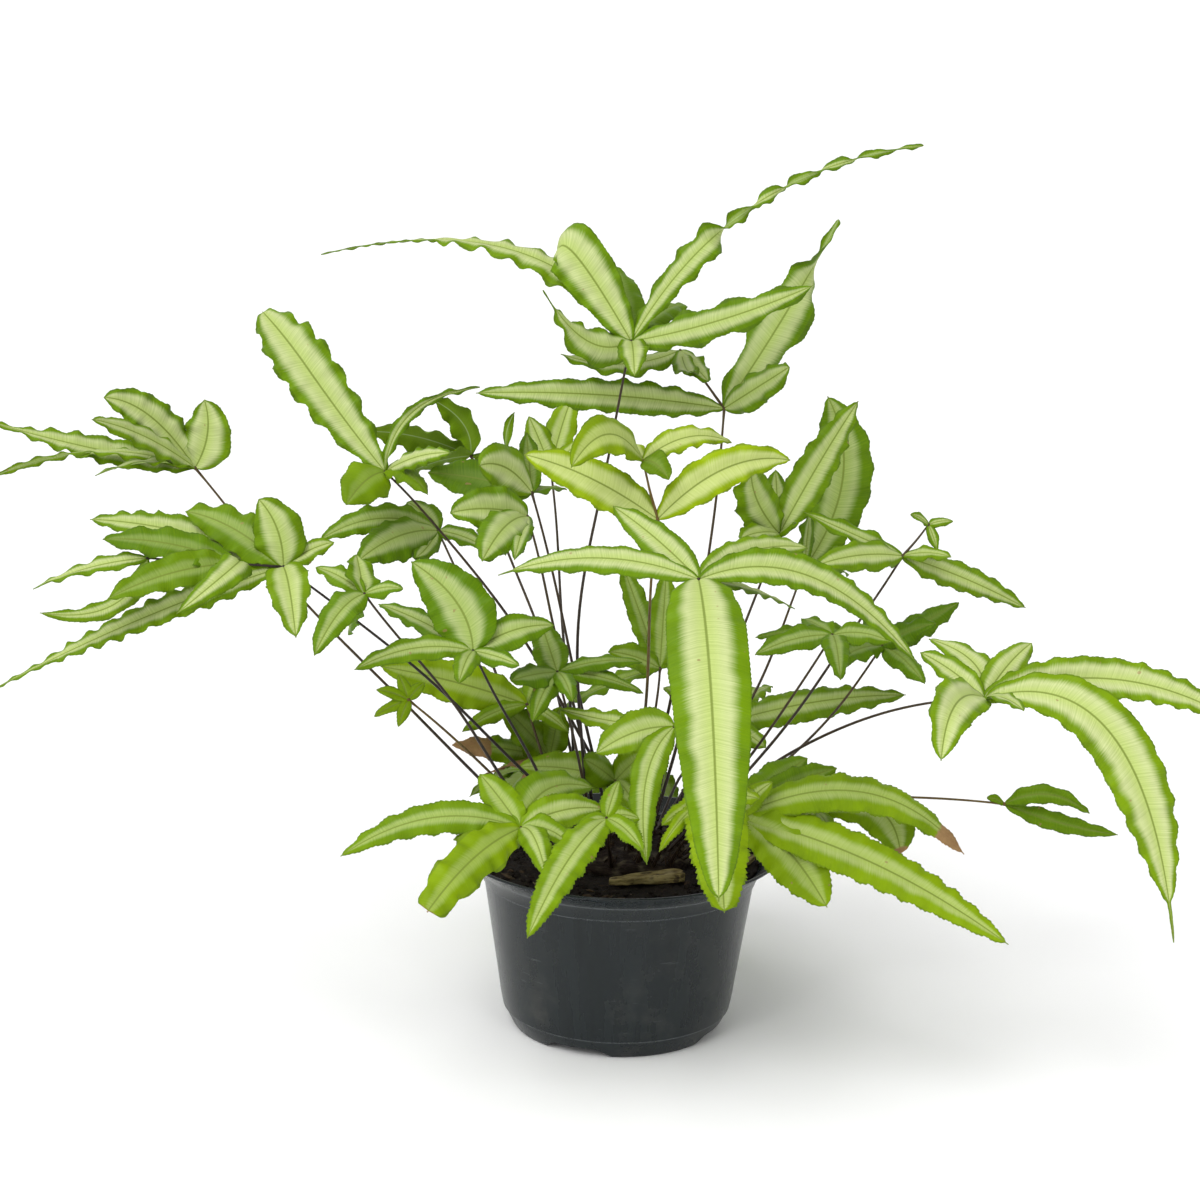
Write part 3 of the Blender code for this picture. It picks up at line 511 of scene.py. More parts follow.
# How each frond's leaflets look; the back fronds keep the usual look
FROND_LOOKS = {
    "frond_01_top": (0.90, 0.20, 0.20, 1.2),
    "frond_02_top_right": (0.90, 0.15, 0.25, 1.2),
    "frond_03_left_tall": (0.85, 0.15, 0.20, 1.2),
    "frond_04_far_left": (0.90, 0.25, 0.10, 1.1),
    "frond_05_left_front": (0.75, 0.25, 0.15, 1.0),
    "frond_06_left_low": (0.55, 0.15, 0.25, 1.0),
    "frond_07_left_middle": (0.60, 0.15, 0.20, 0.8),
    "frond_08_middle": (0.45, 0.15, 0.40, 0.8),
    "frond_09_left_behind": (0.35, 0.40, 0.20, 0.8),
    "frond_10_front_left": (0.45, 0.40, 0.10, 0.8, 1.6),
    "frond_11_front": (0.45, 0.40, 0.05, 0.8, 2.8),
    "frond_12_front_big": (0.85, 0.25, 0.10, 0.6),
    "frond_13_young": (0.90, 1.00, 0.00, 0.9),
    "frond_14_back_middle": (0.60, 0.50, 0.10, 0.9),
    "frond_15_cluster_back": (0.05, 0.30, 0.35, 0.9),
    "frond_16_cluster_top": (0.45, 0.15, 0.40, 0.9),
    "frond_17_cluster_low": (0.75, 0.10, 0.25, 0.9),
    "frond_18_cluster_left": (0.60, 0.15, 0.30, 0.9),
    "frond_19_right_upright": (0.60, 0.25, 0.20, 1.1),
    "frond_20_right_broad": (0.60, 0.15, 0.35, 1.2),
    "frond_21_right_node": (0.65, 0.25, 0.20, 1.1),
    "frond_22_right_dark": (0.25, 0.15, 0.50, 1.1),
    "frond_23_right_inner": (0.40, 0.20, 0.35, 1.0),
    "frond_24_right_big": (0.80, 0.30, 0.00, 0.8),
    "frond_25_right_long": (0.50, 0.30, 0.20, 1.1),
    "frond_26_far_right": (0.05, 0.25, 0.35, 1.0),
    "frond_27_front_right": (0.40, 0.55, 0.05, 0.8, 2.0),
    "frond_28_right_curled": (0.40, 0.45, 0.15, 0.7, 1.4),
    "frond_29_front_middle": (0.55, 0.35, 0.10, 0.9, 1.8),
    "frond_30_front_toothed": (0.40, 0.70, 0.00, 1.0, 3.4),
    "frond_31_unfolding": (0.05, 0.50, 0.20, 0.6),
    "frond_32_brown_edged": (0.30, 0.45, 0.30, 1.0),
    "frond_33_behind_big_leaf": (0.35, 0.30, 0.35, 0.9),
    "frond_37_olive": (0.40, 0.50, 0.35, 0.8, 1.6),
}

# Leaflets that look unlike the rest of their frond
LEAF_LOOKS = {
    ("frond_01_top", 6): (0.20, 0.20, 0.50, 1.0),
    ("frond_01_top", 7): (0.20, 0.20, 0.50, 1.0),
    ("frond_03_left_tall", 1): (1.00, 0.20, 0.00, 1.0),
    ("frond_03_left_tall", 3): (0.10, 0.45, 0.15, 0.8),
    ("frond_03_left_tall", 4): (0.05, 0.35, 0.25, 1.0),
    ("frond_05_left_front", 1): (0.30, 0.25, 0.35, 1.4),
    ("frond_05_left_front", 6): (0.35, 0.20, 0.30, 1.0),
    ("frond_05_left_front", 7): (0.35, 0.35, 0.25, 1.0),
    ("frond_09_left_behind", 0): (0.35, 0.75, 0.10, 0.8),
    ("frond_10_front_left", 2): (0.30, 0.60, 0.05, 0.9, 0.4),
    ("frond_10_front_left", 4): (0.45, 0.35, 0.35, 0.8, 1.0),
    ("frond_12_front_big", 0): (0.78, 0.25, 0.00, 0.5),
    ("frond_13_young", 3): (0.70, 1.00, 0.35, 0.9),
    ("frond_13_young", 5): (0.10, 0.50, 0.40, 0.9),
    ("frond_16_cluster_top", 0): (0.80, 0.35, 0.05, 0.9),
    ("frond_16_cluster_top", 3): (0.05, 0.15, 0.65, 0.9),
    ("frond_27_front_right", 3): (0.25, 0.30, 0.50, 0.8, 1.6),
    ("frond_27_front_right", 4): (0.25, 0.30, 0.50, 0.8, 1.6),
}

# Leaflets with an unusual outline
LEAF_SHAPES = {
    ("frond_01_top", 0): Shape(narrowing=0.26, widening=0.5, lobes=(24.0, 0.5)),
    ("frond_01_top", 1): Shape(tail=(0.78, 0.20), lobes=(20.0, 1.3)),
    ("frond_01_top", 2): Shape(tail=(0.42, 0.46), lobes=(20.0, 1.2), twist_from=0.33),
    ("frond_01_top", 3): Shape(lobes=(22.0, 1.8)),
    ("frond_01_top", 4): Shape(tail=(0.86, 0.10)),
    ("frond_02_top_right", 1): Shape(tail=(0.84, 0.24), lobes=(27.0, 2.4), twist_from=0.6),
    ("frond_02_top_right", 2): Shape(narrowing=0.4),
    ("frond_03_left_tall", 0): Shape(lobes=(17.0, 1.5), narrowing=0.42),
    ("frond_03_left_tall", 2): Shape(tail=(0.85, 0.6), widening=0.3),
    ("frond_04_far_left", 3): Shape(tail=(0.80, 0.25)),
    ("frond_05_left_front", 4): Shape(tail=(0.88, 0.25)),
    ("frond_10_front_left", 2): Shape(narrowing=0.2, lobes=(22.0, 1.7)),
    ("frond_12_front_big", 0): Shape(widening=0.28, narrowing=0.46, lobes=(26.0, 0.5)),
    ("frond_12_front_big", 1): Shape(tail=(0.93, 0.07), lobes=(14.0, 1.0)),
    ("frond_24_right_big", 0): Shape(widening=0.42, narrowing=0.5),
    ("frond_24_right_big", 1): Shape(tail=(0.93, 0.07), narrowing=0.62),
    ("frond_30_front_toothed", 0): Shape(tail=(0.985, 0.02), narrowing=0.36),
}

# How green or reddish a stalk still is: 0 is nearly black
STALK_YOUTH = {
    "frond_13_young": 1.0,
    "frond_31_unfolding": 0.9,
    "frond_26_far_right": 0.9,
    "frond_05_left_front": 0.0,
    "frond_07_left_middle": 0.0,
    "frond_12_front_big": 0.1,
}

# Leaflets with a dry brown end: from which part of their length
DRY_ENDS = {
    ("frond_27_front_right", 1): 0.82,
    ("frond_32_brown_edged", 0): 0.55,
    ("frond_32_brown_edged", 1): 0.20,
    ("frond_32_brown_edged", 3): 0.60,
    ("frond_10_front_left", 2): 0.94,
    ("frond_28_right_curled", 0): 0.90,
}


def nearness(behind):
    """How large a thing is at this depth, for one that looks 1 mm large on the plane."""
    return (behind * DEPTH - EYE[1]) / -EYE[1]


def place(across, up, behind):
    """The real point that is seen at (across, up) on the plane through the pot's axis."""
    return EYE + (np.array((across, 0.0, up)) - EYE) * nearness(behind)


def unit(vectors):
    return vectors / np.linalg.norm(vectors, axis=-1, keepdims=True)


def smooth_step(low, high, value):
    part = np.clip((value - low) / (high - low), 0, 1)
    return part * part * (3 - 2 * part)


def bezier(start, control, end, t):
    t = np.asarray(t)[:, None]
    return start * (1 - t) ** 2 + control * 2 * t * (1 - t) + end * t ** 2


def leaf_outline(t, belly, shape):
    """The blade's width along the midrib, as a part of its greatest width, with a thin tail at its end."""
    tail_start, tail_width = shape.tail
    t = t / tail_start
    belly = belly / tail_start
    widening = np.sin(np.pi / 2 * np.clip(t / belly, 0, 1)) ** shape.widening
    narrowing = np.cos(np.pi / 2 * np.clip((t - belly) / (1 - belly), 0, 1)) ** shape.narrowing
    body = np.where(t < belly, widening, narrowing)
    left = np.clip((1 / tail_start - t) / (1 / tail_start - 1), 0, 1)
    tail = tail_width * left ** 0.35
    return np.maximum(body, tail * smooth_step(0.4, 0.8, t))


def carried(directions, side, middle):
    """Carries a sideways direction along the midrib from its middle, without turning it about the midrib."""
    sides = np.zeros_like(directions)
    sides[middle] = side
    for order in (range(middle + 1, len(directions)), range(middle - 1, -1, -1)):
        side = sides[middle]
        for i in order:
            side = unit(side - directions[i] * np.dot(side, directions[i]))
            sides[i] = side
    return sides


class Growth:
    """Gathers tubes of vertices, with what their materials read, into one mesh."""

    def __init__(self):
        self.points = []
        self.blade = []
        self.look = []
        self.dry = []
        self.quads = []
        self.slots = []
        self.spots = []
        self.count = 0

    def add(self, rings, blade, look, dry, ring_slots, spots):
        """Adds a tube of equal rings. spots holds the map's places of each quad's four corners."""
        rows, around = rings.shape[:2]
        index = self.count + np.arange(rows * around).reshape(rows, around)
        after = np.roll(index, -1, axis=1)
        quads = np.stack((index[:-1], after[:-1], after[1:], index[1:]), axis=-1)
        self.points.append(rings.reshape(-1, 3))
        self.blade.append(blade.reshape(-1, 3))
        self.look.append(np.broadcast_to(look, (rows * around, 3)))
        self.dry.append(dry.reshape(-1))
        self.quads.append(quads.reshape(-1, 4))
        self.slots.append(np.broadcast_to(ring_slots, (rows - 1, around)).reshape(-1))
        self.spots.append(spots.reshape(-1, 2))
        self.count += rows * around
        for row, flip in ((0, True), (rows - 1, False)):
            self.close(index[row], ring_slots, spots, row, flip)

    def close(self, ring, ring_slots, spots, row, flip):
        """Closes one end of a tube with a fan of quads between its two halves."""
        around = len(ring)
        row = min(row, len(spots) - 1)
        corner = 0 if flip else 3
        for k in range(around // 2 - 1):
            here = (k, k + 1, around - 2 - k, around - 1 - k)
            if flip:
                here = here[::-1]
            self.quads.append(np.array([[ring[i] for i in here]]))
            self.slots.append(np.array([ring_slots[k]]))
            self.spots.append(np.array([spots[row, i, corner] for i in here]))

    def mesh(self, name):
        points = np.concatenate(self.points) * MM
        quads = np.concatenate(self.quads)
        made = bpy.data.meshes.new(name)
        made.vertices.add(len(points))
        made.vertices.foreach_set("co", points.ravel())
        made.loops.add(quads.size)
        made.loops.foreach_set("vertex_index", quads.ravel())
        made.polygons.add(len(quads))
        made.polygons.foreach_set("loop_start", np.arange(0, quads.size, 4))
        made.polygons.foreach_set("loop_total", np.full(len(quads), 4))
        made.update(calc_edges=True)
        made.polygons.foreach_set("material_index", np.concatenate(self.slots).astype(int))
        for title, values in (("blade", self.blade), ("look", self.look)):
            attribute = made.attributes.new(title, "FLOAT_VECTOR", "POINT")
            attribute.data.foreach_set("vector", np.concatenate(values).astype(float).ravel())
        attribute = made.attributes.new("dry", "FLOAT", "POINT")
        attribute.data.foreach_set("value", np.concatenate(self.dry).astype(float))
        places = made.uv_layers.new(name="OFBake")
        places.data.foreach_set("uv", np.concatenate(self.spots).astype(float).ravel())
        made.validate()
        made.shade_smooth()
        made.set_sharp_from_angle(angle=math.radians(70))
        return made


def strip_spots(along, across, low, high):
    """The map's places of the quads of a strip: along runs from 0 to 1, across likewise within its cell."""
    u = np.broadcast_to(MAP_GAP + (1 - 2 * MAP_GAP) * along[:, None], (len(along), len(across)))
    v = np.broadcast_to(low + (high - low) * across[None, :], u.shape)
    spots = np.stack((u, v), axis=-1)
    return np.stack((spots[:-1, :-1], spots[:-1, 1:], spots[1:, 1:], spots[1:, :-1]), axis=2)


def midrib_path(base, leaf):
    """A function that gives the midrib's points at parts of its path, from 0 to 1."""
    tip = place(leaf.across, leaf.up, leaf.behind)
    control = (base + tip) / 2 + np.array((*leaf.bow, leaf.arch)) * 2

    def point(t):
        hooked = (np.maximum(t - HOOK_FROM, 0) / (1 - HOOK_FROM))[:, None] ** 2
        return bezier(base, control, tip, t) + np.array(leaf.hook) * hooked

    return point


def blade_rows(point, tooth_length):
    """Even rows along a midrib: how far along each is, in millimetres and as a part of the path."""
    fine = np.linspace(0, 1, 161)
    steps = np.linalg.norm(np.diff(point(fine), axis=0), axis=1)
    travelled = np.concatenate(((0,), np.cumsum(steps)))
    length = travelled[-1]
    tooth = tooth_length if length > SHORT_LEAF else tooth_length * SHORT_LEAF_TEETH
    rows = max(int(length / tooth * len(TOOTH)), FEWEST_ROWS)
    along = np.linspace(0, length, rows)
    return along, np.interp(along, travelled, fine)


def blade_axes(point, t, leaf, shape):
    """The directions along the midrib, across the blade and out of its upper face, at each row."""
    directions = unit(point(np.minimum(t + 0.01, 1)) - point(np.maximum(t - 0.01, 0)))
    tilt, lean = math.radians(leaf.tilt), math.radians(leaf.lean)
    face = np.array((math.sin(lean), -math.sin(tilt) * math.cos(lean), math.cos(tilt) * math.cos(lean)))
    middle = len(t) // 2
    sides = carried(directions, unit(np.cross(directions[middle], face)), middle)
    if abs(leaf.twist) > STRONG_TWIST:
        t = np.clip((t - shape.twist_from) / (1 - shape.twist_from), 0, 1)
    turn = (math.radians(leaf.twist) * t)[:, None]
    sides = sides * np.cos(turn) + np.cross(directions, sides) * np.sin(turn)
    return directions, sides, np.cross(sides, directions)


def margin_swings(along, breadth, look, shape, sizes, dice):
    """How far each of the two margins rises and falls, and how far it stands out and in, at each row."""
    phases = dice.uniform(0, 2 * np.pi, 6)
    stretch = dice.uniform(0.85, 1.25)
    drift = 1.3 * np.sin(along / 31 + phases[4])
    pace = 2 * np.pi * along / (sizes.wave_length * stretch)
    waves = [
        np.sin(pace + phase + drift) + 0.3 * np.sin(pace / 0.57 + phase * 2 + drift)
        for phase in phases[:2]
    ]
    lobe_length, lobe_depth = shape.lobes
    pace = 2 * np.pi * along / (lobe_length * stretch)
    lobes = [np.sin(pace + phase + drift) + 0.22 * np.sin(pace / 0.44 + phase * 3) for phase in phases[2:4]]
    strength = breadth * look.waves
    return np.array(waves) * strength * sizes.wave_height, np.array(lobes) * strength * lobe_depth


def add_leaf(growth, base, leaf, look, shape, dry_from, cells, sizes, seed):
    """One leaflet: a thin closed blade with a creased middle, wavy halves and fine teeth."""
    dice = np.random.default_rng(seed)
    point = midrib_path(base, leaf)
    along, t = blade_rows(point, sizes.tooth_length)
    directions, sides, ups = (axis[:, None] for axis in blade_axes(point, t, leaf, shape))
    width = (leaf.width * WIDTH_GAIN + FULLNESS) * nearness(leaf.behind)
    half = width / 2 * leaf_outline(t, leaf.belly, shape)
    half = np.maximum(half, 0.25 + 0.5 * (1 - smooth_step(0, 4, along)))
    breadth = half / (half + 4)
    waves, lobes = margin_swings(along, breadth, look, shape, sizes, dice)
    fold = dice.uniform(0.30, 0.60)
    droop = dice.uniform(0.35, 0.75)

    u = np.array(COLUMNS)
    left = (u < 0)[None, :]
    wave, lobe = (np.where(left, first[:, None], second[:, None]) for first, second in (waves, lobes))
    teeth = TOOTH[np.arange(len(t)) % len(TOOTH)] * sizes.tooth_depth * look.teeth * 2 * breadth
    teeth = (teeth * smooth_step(2, 10, along))[:, None]
    half = half[:, None]
    margin = np.abs(u) ** 6
    across = u * half + np.sign(u) * margin * (teeth + lobe * smooth_step(2, 8, along)[:, None])
    height = half * (fold * np.abs(u) - droop * u ** 2) + np.abs(u) ** 2.2 * wave
    height -= 0.35 * breadth[:, None] * np.exp(-(u / 0.12) ** 2)
    forward = margin * np.maximum(teeth, 0) * 0.7

    sheet = point(t)[:, None] + sides * across[..., None] + ups * height[..., None]
    sheet = sheet + directions * forward[..., None]
    lift = ups * (sizes.blade_thickness / 2 * (1 - np.abs(u) ** 10))[None, :, None]
    rings = np.concatenate((sheet + lift, (sheet - lift)[:, -2:0:-1]), axis=1)
    blade = np.stack(np.broadcast_arrays(along[:, None], across, half), axis=-1)
    blade = np.concatenate((blade, blade[:, -2:0:-1]), axis=1)
    dry = smooth_step(dry_from, dry_from + 0.1, t) if dry_from < 1 else np.zeros(len(t))
    dry = np.broadcast_to(dry[:, None], blade.shape[:2])
    slots = np.repeat((UPPER, UNDER), len(u) - 1)
    parts = (u + 1) / 2
    faces = zip((parts, 1 - parts), cells)
    spots = np.concatenate([strip_spots(along / along[-1], part, *cell) for part, cell in faces], axis=1)
    growth.add(rings, blade, look[:3], dry, slots, spots)


def add_stalk(growth, points, radii, along, cell, look):
    """A round tube through the points; along says how far up the stalk each ring is, from 0 to 1."""
    directions = unit(np.gradient(points, axis=0))
    across = unit(np.cross(directions, np.array((0.0, 1.0, 0.01))))
    upright = np.cross(directions, across)
    angles = (-2 * np.pi * np.arange(STALK_SIDES) / STALK_SIDES)[:, None]
    circles = across[:, None] * np.cos(angles) + upright[:, None] * np.sin(angles)
    rings = points[:, None] + circles * radii[:, None, None]
    blade = np.zeros(rings.shape)
    blade[..., 0] = along[:, None]
    spots = strip_spots(np.linspace(0, 1, len(points)), np.linspace(0, 1, STALK_SIDES + 1), *cell)
    growth.add(rings, blade, look, np.zeros(rings.shape[:2]), np.full(STALK_SIDES, STALK), spots)


def stalk_rings(foot, node, sway, wander, seed):
    """Points and radii of a stalk from its foot to its knuckle, and how far up each is."""
    dice = np.random.default_rng(seed)
    t = np.linspace(0, 1, STALK_POINTS)
    points = bezier(foot, (foot + node) / 2 + np.array(sway) * 2, node, t)
    for k in (1.0, 2.0, 3.0):
        swing = dice.uniform(-1, 1, 3) * (1, 1, 0.2) * wander / k
        points += np.sin(np.pi * k * t)[:, None] * np.sin(np.pi * t)[:, None] * swing
    end = unit(points[-1] - points[-2])
    radii = np.interp(t, *zip(*STALK_RADII))
    points = np.concatenate((points[:-1], [node + end * step for step, radius in KNUCKLE]))
    radii = np.concatenate((radii[:-1], [radius for step, radius in KNUCKLE]))
    return points, radii, np.linspace(0, 1, len(points))


def build_frond(frond, number, sizes):
    """One frond as a single piece: its stalk, its knuckles and its leaflets."""
    look = FROND_LOOKS.get(frond.name, ())
    youth = STALK_YOUTH.get(frond.name, 0.15 + 0.35 * (number * 0.618 % 1))
    foot = np.array((*frond.foot, FOOT_HEIGHT))
    nodes = [place(*node) for node in frond.nodes]
    weights = [leaf.width + 2 for leaf in frond.leaves for side in range(2)] + [5.0] * len(nodes)
    edges = np.concatenate(((0,), np.cumsum(weights))) / sum(weights)
    cells = [(low + MAP_GAP, high - MAP_GAP) for low, high in zip(edges, edges[1:])]
    growth = Growth()
    wander = np.linalg.norm(nodes[0] - foot) * sizes.stalk_wander / 100
    points, radii, along = stalk_rings(foot, nodes[0], frond.sway, wander, STALK_SEED + number)
    add_stalk(growth, points, radii, along, cells[-1], (youth, 0, 0))
    for i, (first, second) in enumerate(zip(nodes, nodes[1:])):
        points, radii, along = stalk_rings(first, second, (0, 0, 0), 0.4, RACHIS_SEED + number)
        radii = np.minimum(radii, 0.9) * 0.8
        add_stalk(growth, points, radii, np.ones(len(points)), cells[-2 - i], (youth, 0, 0))
    for i, leaf in enumerate(frond.leaves):
        seed = 100 * number + i
        change = np.random.default_rng(seed).uniform(-0.08, 0.08, 3)
        own = Look(*LEAF_LOOKS.get((frond.name, i), look))
        own = Look(*np.clip(own[:3] + change, 0, 1), *own[3:])
        shape = LEAF_SHAPES.get((frond.name, i), Shape())
        dry_from = DRY_ENDS.get((frond.name, i), 1.0)
        add_leaf(growth, nodes[leaf.node], leaf, own, shape, dry_from, cells[2 * i:2 * i + 2], sizes, seed)
    return linked(frond.name, growth.mesh(frond.name))


def linked(name, mesh):
    """Puts a finished mesh into the scene as an object."""
    piece = bpy.data.objects.new(name, mesh)
    bpy.context.scene.collection.objects.link(piece)
    return piece


def deselect_all():
    if bpy.context.object and bpy.context.object.mode != "OBJECT":
        bpy.ops.object.mode_set(mode="OBJECT")
    bpy.ops.object.select_all(action="DESELECT")


def only(piece):
    """Selects one object alone and makes it active."""
    deselect_all()
    piece.select_set(True)
    bpy.context.view_layer.objects.active = piece


def settle(piece, name):
    """Names a finished piece and puts its place into its mesh."""
    only(piece)
    bpy.ops.object.transform_apply(location=True, rotation=True, scale=True)
    piece.name = name
    piece.data.name = name
    return piece


def apply_modifier(piece, title, kind, **settings):
    only(piece)
    modifier = piece.modifiers.new(title, kind)
    for key, value in settings.items():
        setattr(modifier, key, value)
    bpy.ops.object.modifier_apply(modifier=title)


def turned_piece(name, profile, sides):
    """A piece drawn out ring by ring from a circle, along (radius, height) steps in millimetres."""
    deselect_all()
    radius, height = profile[0]
    bpy.ops.mesh.primitive_circle_add(
        vertices=sides, radius=radius * MM, fill_type="NGON", location=(0, 0, height * MM))
    piece = bpy.context.object
    bpy.ops.object.mode_set(mode="EDIT")
    bpy.ops.mesh.select_all(action="SELECT")
    for (from_radius, from_height), (to_radius, to_height) in zip(profile, profile[1:]):
        rise = (to_height - from_height) * MM
        bpy.ops.mesh.extrude_region_move(TRANSFORM_OT_translate={"value": (0, 0, rise)})
        grow = to_radius / from_radius
        bpy.ops.transform.resize(value=(grow, grow, 1))
    bpy.ops.mesh.select_all(action="SELECT")
    bpy.ops.mesh.normals_make_consistent(inside=False)
    bpy.ops.object.mode_set(mode="OBJECT")
    return settle(piece, name)


class NodeTree:
    """Adds nodes to a material or a node group, and joins them."""

    def __init__(self, tree):
        self.tree = tree

    def node(self, kind, **settings):
        made = self.tree.nodes.new(kind)
        for key, value in settings.items():
            setattr(made, key, value)
        return made

    def join(self, value, socket):
        """Links a socket to another, or sets it to a value. A colour of three numbers is made solid."""
        if isinstance(value, bpy.types.NodeSocket):
            self.tree.links.new(value, socket)
        elif value is not None:
            socket.default_value = (*value[:3], 1) if socket.type == "RGBA" else value

    def math(self, operation, *values):
        made = self.node("ShaderNodeMath", operation=operation)
        for value, socket in zip(values, made.inputs):
            self.join(value, socket)
        return made.outputs[0]

    def swung(self, value, noise, amount):
        """A value moved both ways by a noise."""
        return self.math("ADD", value, self.math("MULTIPLY", self.math("SUBTRACT", noise, 0.5), amount))

    def step(self, value, low, high, to_low=0.0, to_high=1.0):
        """A smooth change from one value to another."""
        made = self.node("ShaderNodeMapRange", interpolation_type="SMOOTHSTEP")
        titles = ("Value", "From Min", "From Max", "To Min", "To Max")
        for given, title in zip((value, low, high, to_low, to_high), titles):
            self.join(given, made.inputs[title])
        return made.outputs["Result"]

    def mix(self, factor, first, second):
        made = self.node("ShaderNodeMix", data_type="RGBA")
        for value, i in zip((factor, first, second), (0, 6, 7)):
            self.join(value, made.inputs[i])
        return made.outputs[2]

    def noise(self, scale, where=None, line=None, detail=2.0, roughness=0.5):
        if line is None:
            made = self.node("ShaderNodeTexNoise", noise_dimensions="3D")
            self.join(where, made.inputs["Vector"])
        else:
            made = self.node("ShaderNodeTexNoise", noise_dimensions="1D")
            self.join(line, made.inputs["W"])
        for value, title in zip((scale, detail, roughness), ("Scale", "Detail", "Roughness")):
            self.join(value, made.inputs[title])
        return made.outputs[0]

    def grain(self, where, stretch, detail, roughness=0.5):
        """A noise drawn out along an axis, by the scale along each."""
        made = self.node("ShaderNodeMapping")
        self.join(where, made.inputs["Vector"])
        made.inputs["Scale"].default_value = stretch
        return self.noise(1.0, where=made.outputs[0], detail=detail, roughness=roughness)

    def attribute(self, title, output="Vector"):
        return self.node("ShaderNodeAttribute", attribute_name=title).outputs[output]

    def split(self, vector):
        made = self.node("ShaderNodeSeparateXYZ")
        self.join(vector, made.inputs[0])
        return made.outputs

    def object_place(self):
        return self.node("ShaderNodeTexCoord").outputs["Object"]

    def group(self, group, **given):
        made = self.node("ShaderNodeGroup", node_tree=group)
        for title, value in given.items():
            self.join(value, made.inputs[title])
        return made.outputs


def new_group(name, inputs, outputs):
    """An empty node group with named sockets, given as name: kind."""
    group = bpy.data.node_groups.new(name, "ShaderNodeTree")
    for titles, way in ((inputs, "INPUT"), (outputs, "OUTPUT")):
        for title, kind in titles.items():
            group.interface.new_socket(name=title, in_out=way, socket_type="NodeSocket" + kind)
    tree = NodeTree(group)
    return group, tree, tree.node("NodeGroupInput").outputs, tree.node("NodeGroupOutput").inputs


def new_material(name, roughness=0.5, specular=0.5):
    made = bpy.data.materials.new(name)
    made.use_nodes = True
    shader = made.node_tree.nodes["Principled BSDF"]
    shader.inputs["Roughness"].default_value = roughness
    shader.inputs["Specular IOR Level"].default_value = specular
    return made, NodeTree(made.node_tree), shader.inputs


def add_bump(tree, shader, height, strength, distance):
    bump = tree.node("ShaderNodeBump")
    tree.join(height, bump.inputs["Height"])
    bump.inputs["Strength"].default_value = strength
    bump.inputs["Distance"].default_value = distance * MM
    tree.join(bump.outputs[0], shader["Normal"])


def leaf_pattern_group():
    """Where a leaflet's pale band, midrib and veins lie, from its own blade attribute."""
    group, tree, given, out = new_group(
        "Leaflet pattern",
        {"Blade": "Vector", "Stripe": "Float"},
        dict.fromkeys(("Band", "Veins", "Part", "Rim", "Midrib", "Height"), "Float"),
    )
    along, across, half = tree.split(given["Blade"])
    off = tree.math("ABSOLUTE", across)
    side = tree.math("MULTIPLY", tree.math("SIGN", across), 61.0)
    vein_line = tree.math("SUBTRACT", along, tree.math("MULTIPLY", off, 0.3))
    vein_line = tree.math("ADD", vein_line, side)
    part = tree.math("DIVIDE", off, tree.math("MAXIMUM", half, 0.4))
    tree.join(part, out["Part"])

    fingers = tree.noise(1.3, line=vein_line, roughness=0.6)
    drift = tree.noise(0.09, line=tree.math("ADD", along, side), detail=1.0)
    margin = tree.math("DIVIDE", 0.65, tree.math("MAXIMUM", half, 1.5))
    edge = tree.math("SUBTRACT", tree.math("MULTIPLY_ADD", given["Stripe"], 0.42, 0.36), margin)
    edge = tree.swung(tree.swung(edge, fingers, 0.18), drift, 0.2)
    band = tree.step(part, tree.math("SUBTRACT", edge, 0.22), tree.math("ADD", edge, 0.13), 1.0, 0.0)
    tree.join(tree.math("MULTIPLY", band, tree.step(given["Stripe"], 0.0, 0.75, 0.15, 1.0)), out["Band"])

    veins = tree.noise(1.25, line=vein_line, roughness=0.7)
    tree.join(veins, out["Veins"])
    tree.join(tree.step(tree.math("SUBTRACT", half, off), 0.15, 0.75, 1.0, 0.0), out["Rim"])
    thickness = tree.math("MULTIPLY_ADD", half, 0.02, 0.14)
    rib_edges = (tree.math("MULTIPLY", thickness, 0.6), tree.math("MULTIPLY", thickness, 1.8))
    tree.join(tree.step(off, *rib_edges, 1.0, 0.0), out["Midrib"])
    groove = tree.step(off, 0.0, tree.math("MULTIPLY", thickness, 4.0))
    tree.join(tree.swung(groove, veins, 0.8), out["Height"])
    return group


def ageing_group():
    """Browning from the dry attribute, with a few small specks anywhere."""
    group, tree, given, out = new_group(
        "Leaf ageing", {"Colour": "Color", "Dry": "Float"}, {"Colour": "Color", "Browning": "Float"})
    where = tree.object_place()
    blotch = tree.noise(160.0, where=where, detail=4.0, roughness=0.7)
    browning = tree.step(tree.swung(given["Dry"], blotch, 0.9), 0.35, 0.6)
    browning = tree.math("MULTIPLY", browning, tree.step(given["Dry"], 0.0, 0.1))
    specks = tree.step(tree.noise(240.0, where=where, detail=1.0), 0.775, 0.8)
    browning = tree.math("MAXIMUM", browning, tree.math("MULTIPLY", specks, 0.6))
    brown = tree.mix(blotch, DRY_DARK, DRY_LIGHT)
    tree.join(tree.mix(browning, given["Colour"], brown), out["Colour"])
    tree.join(browning, out["Browning"])
    return group


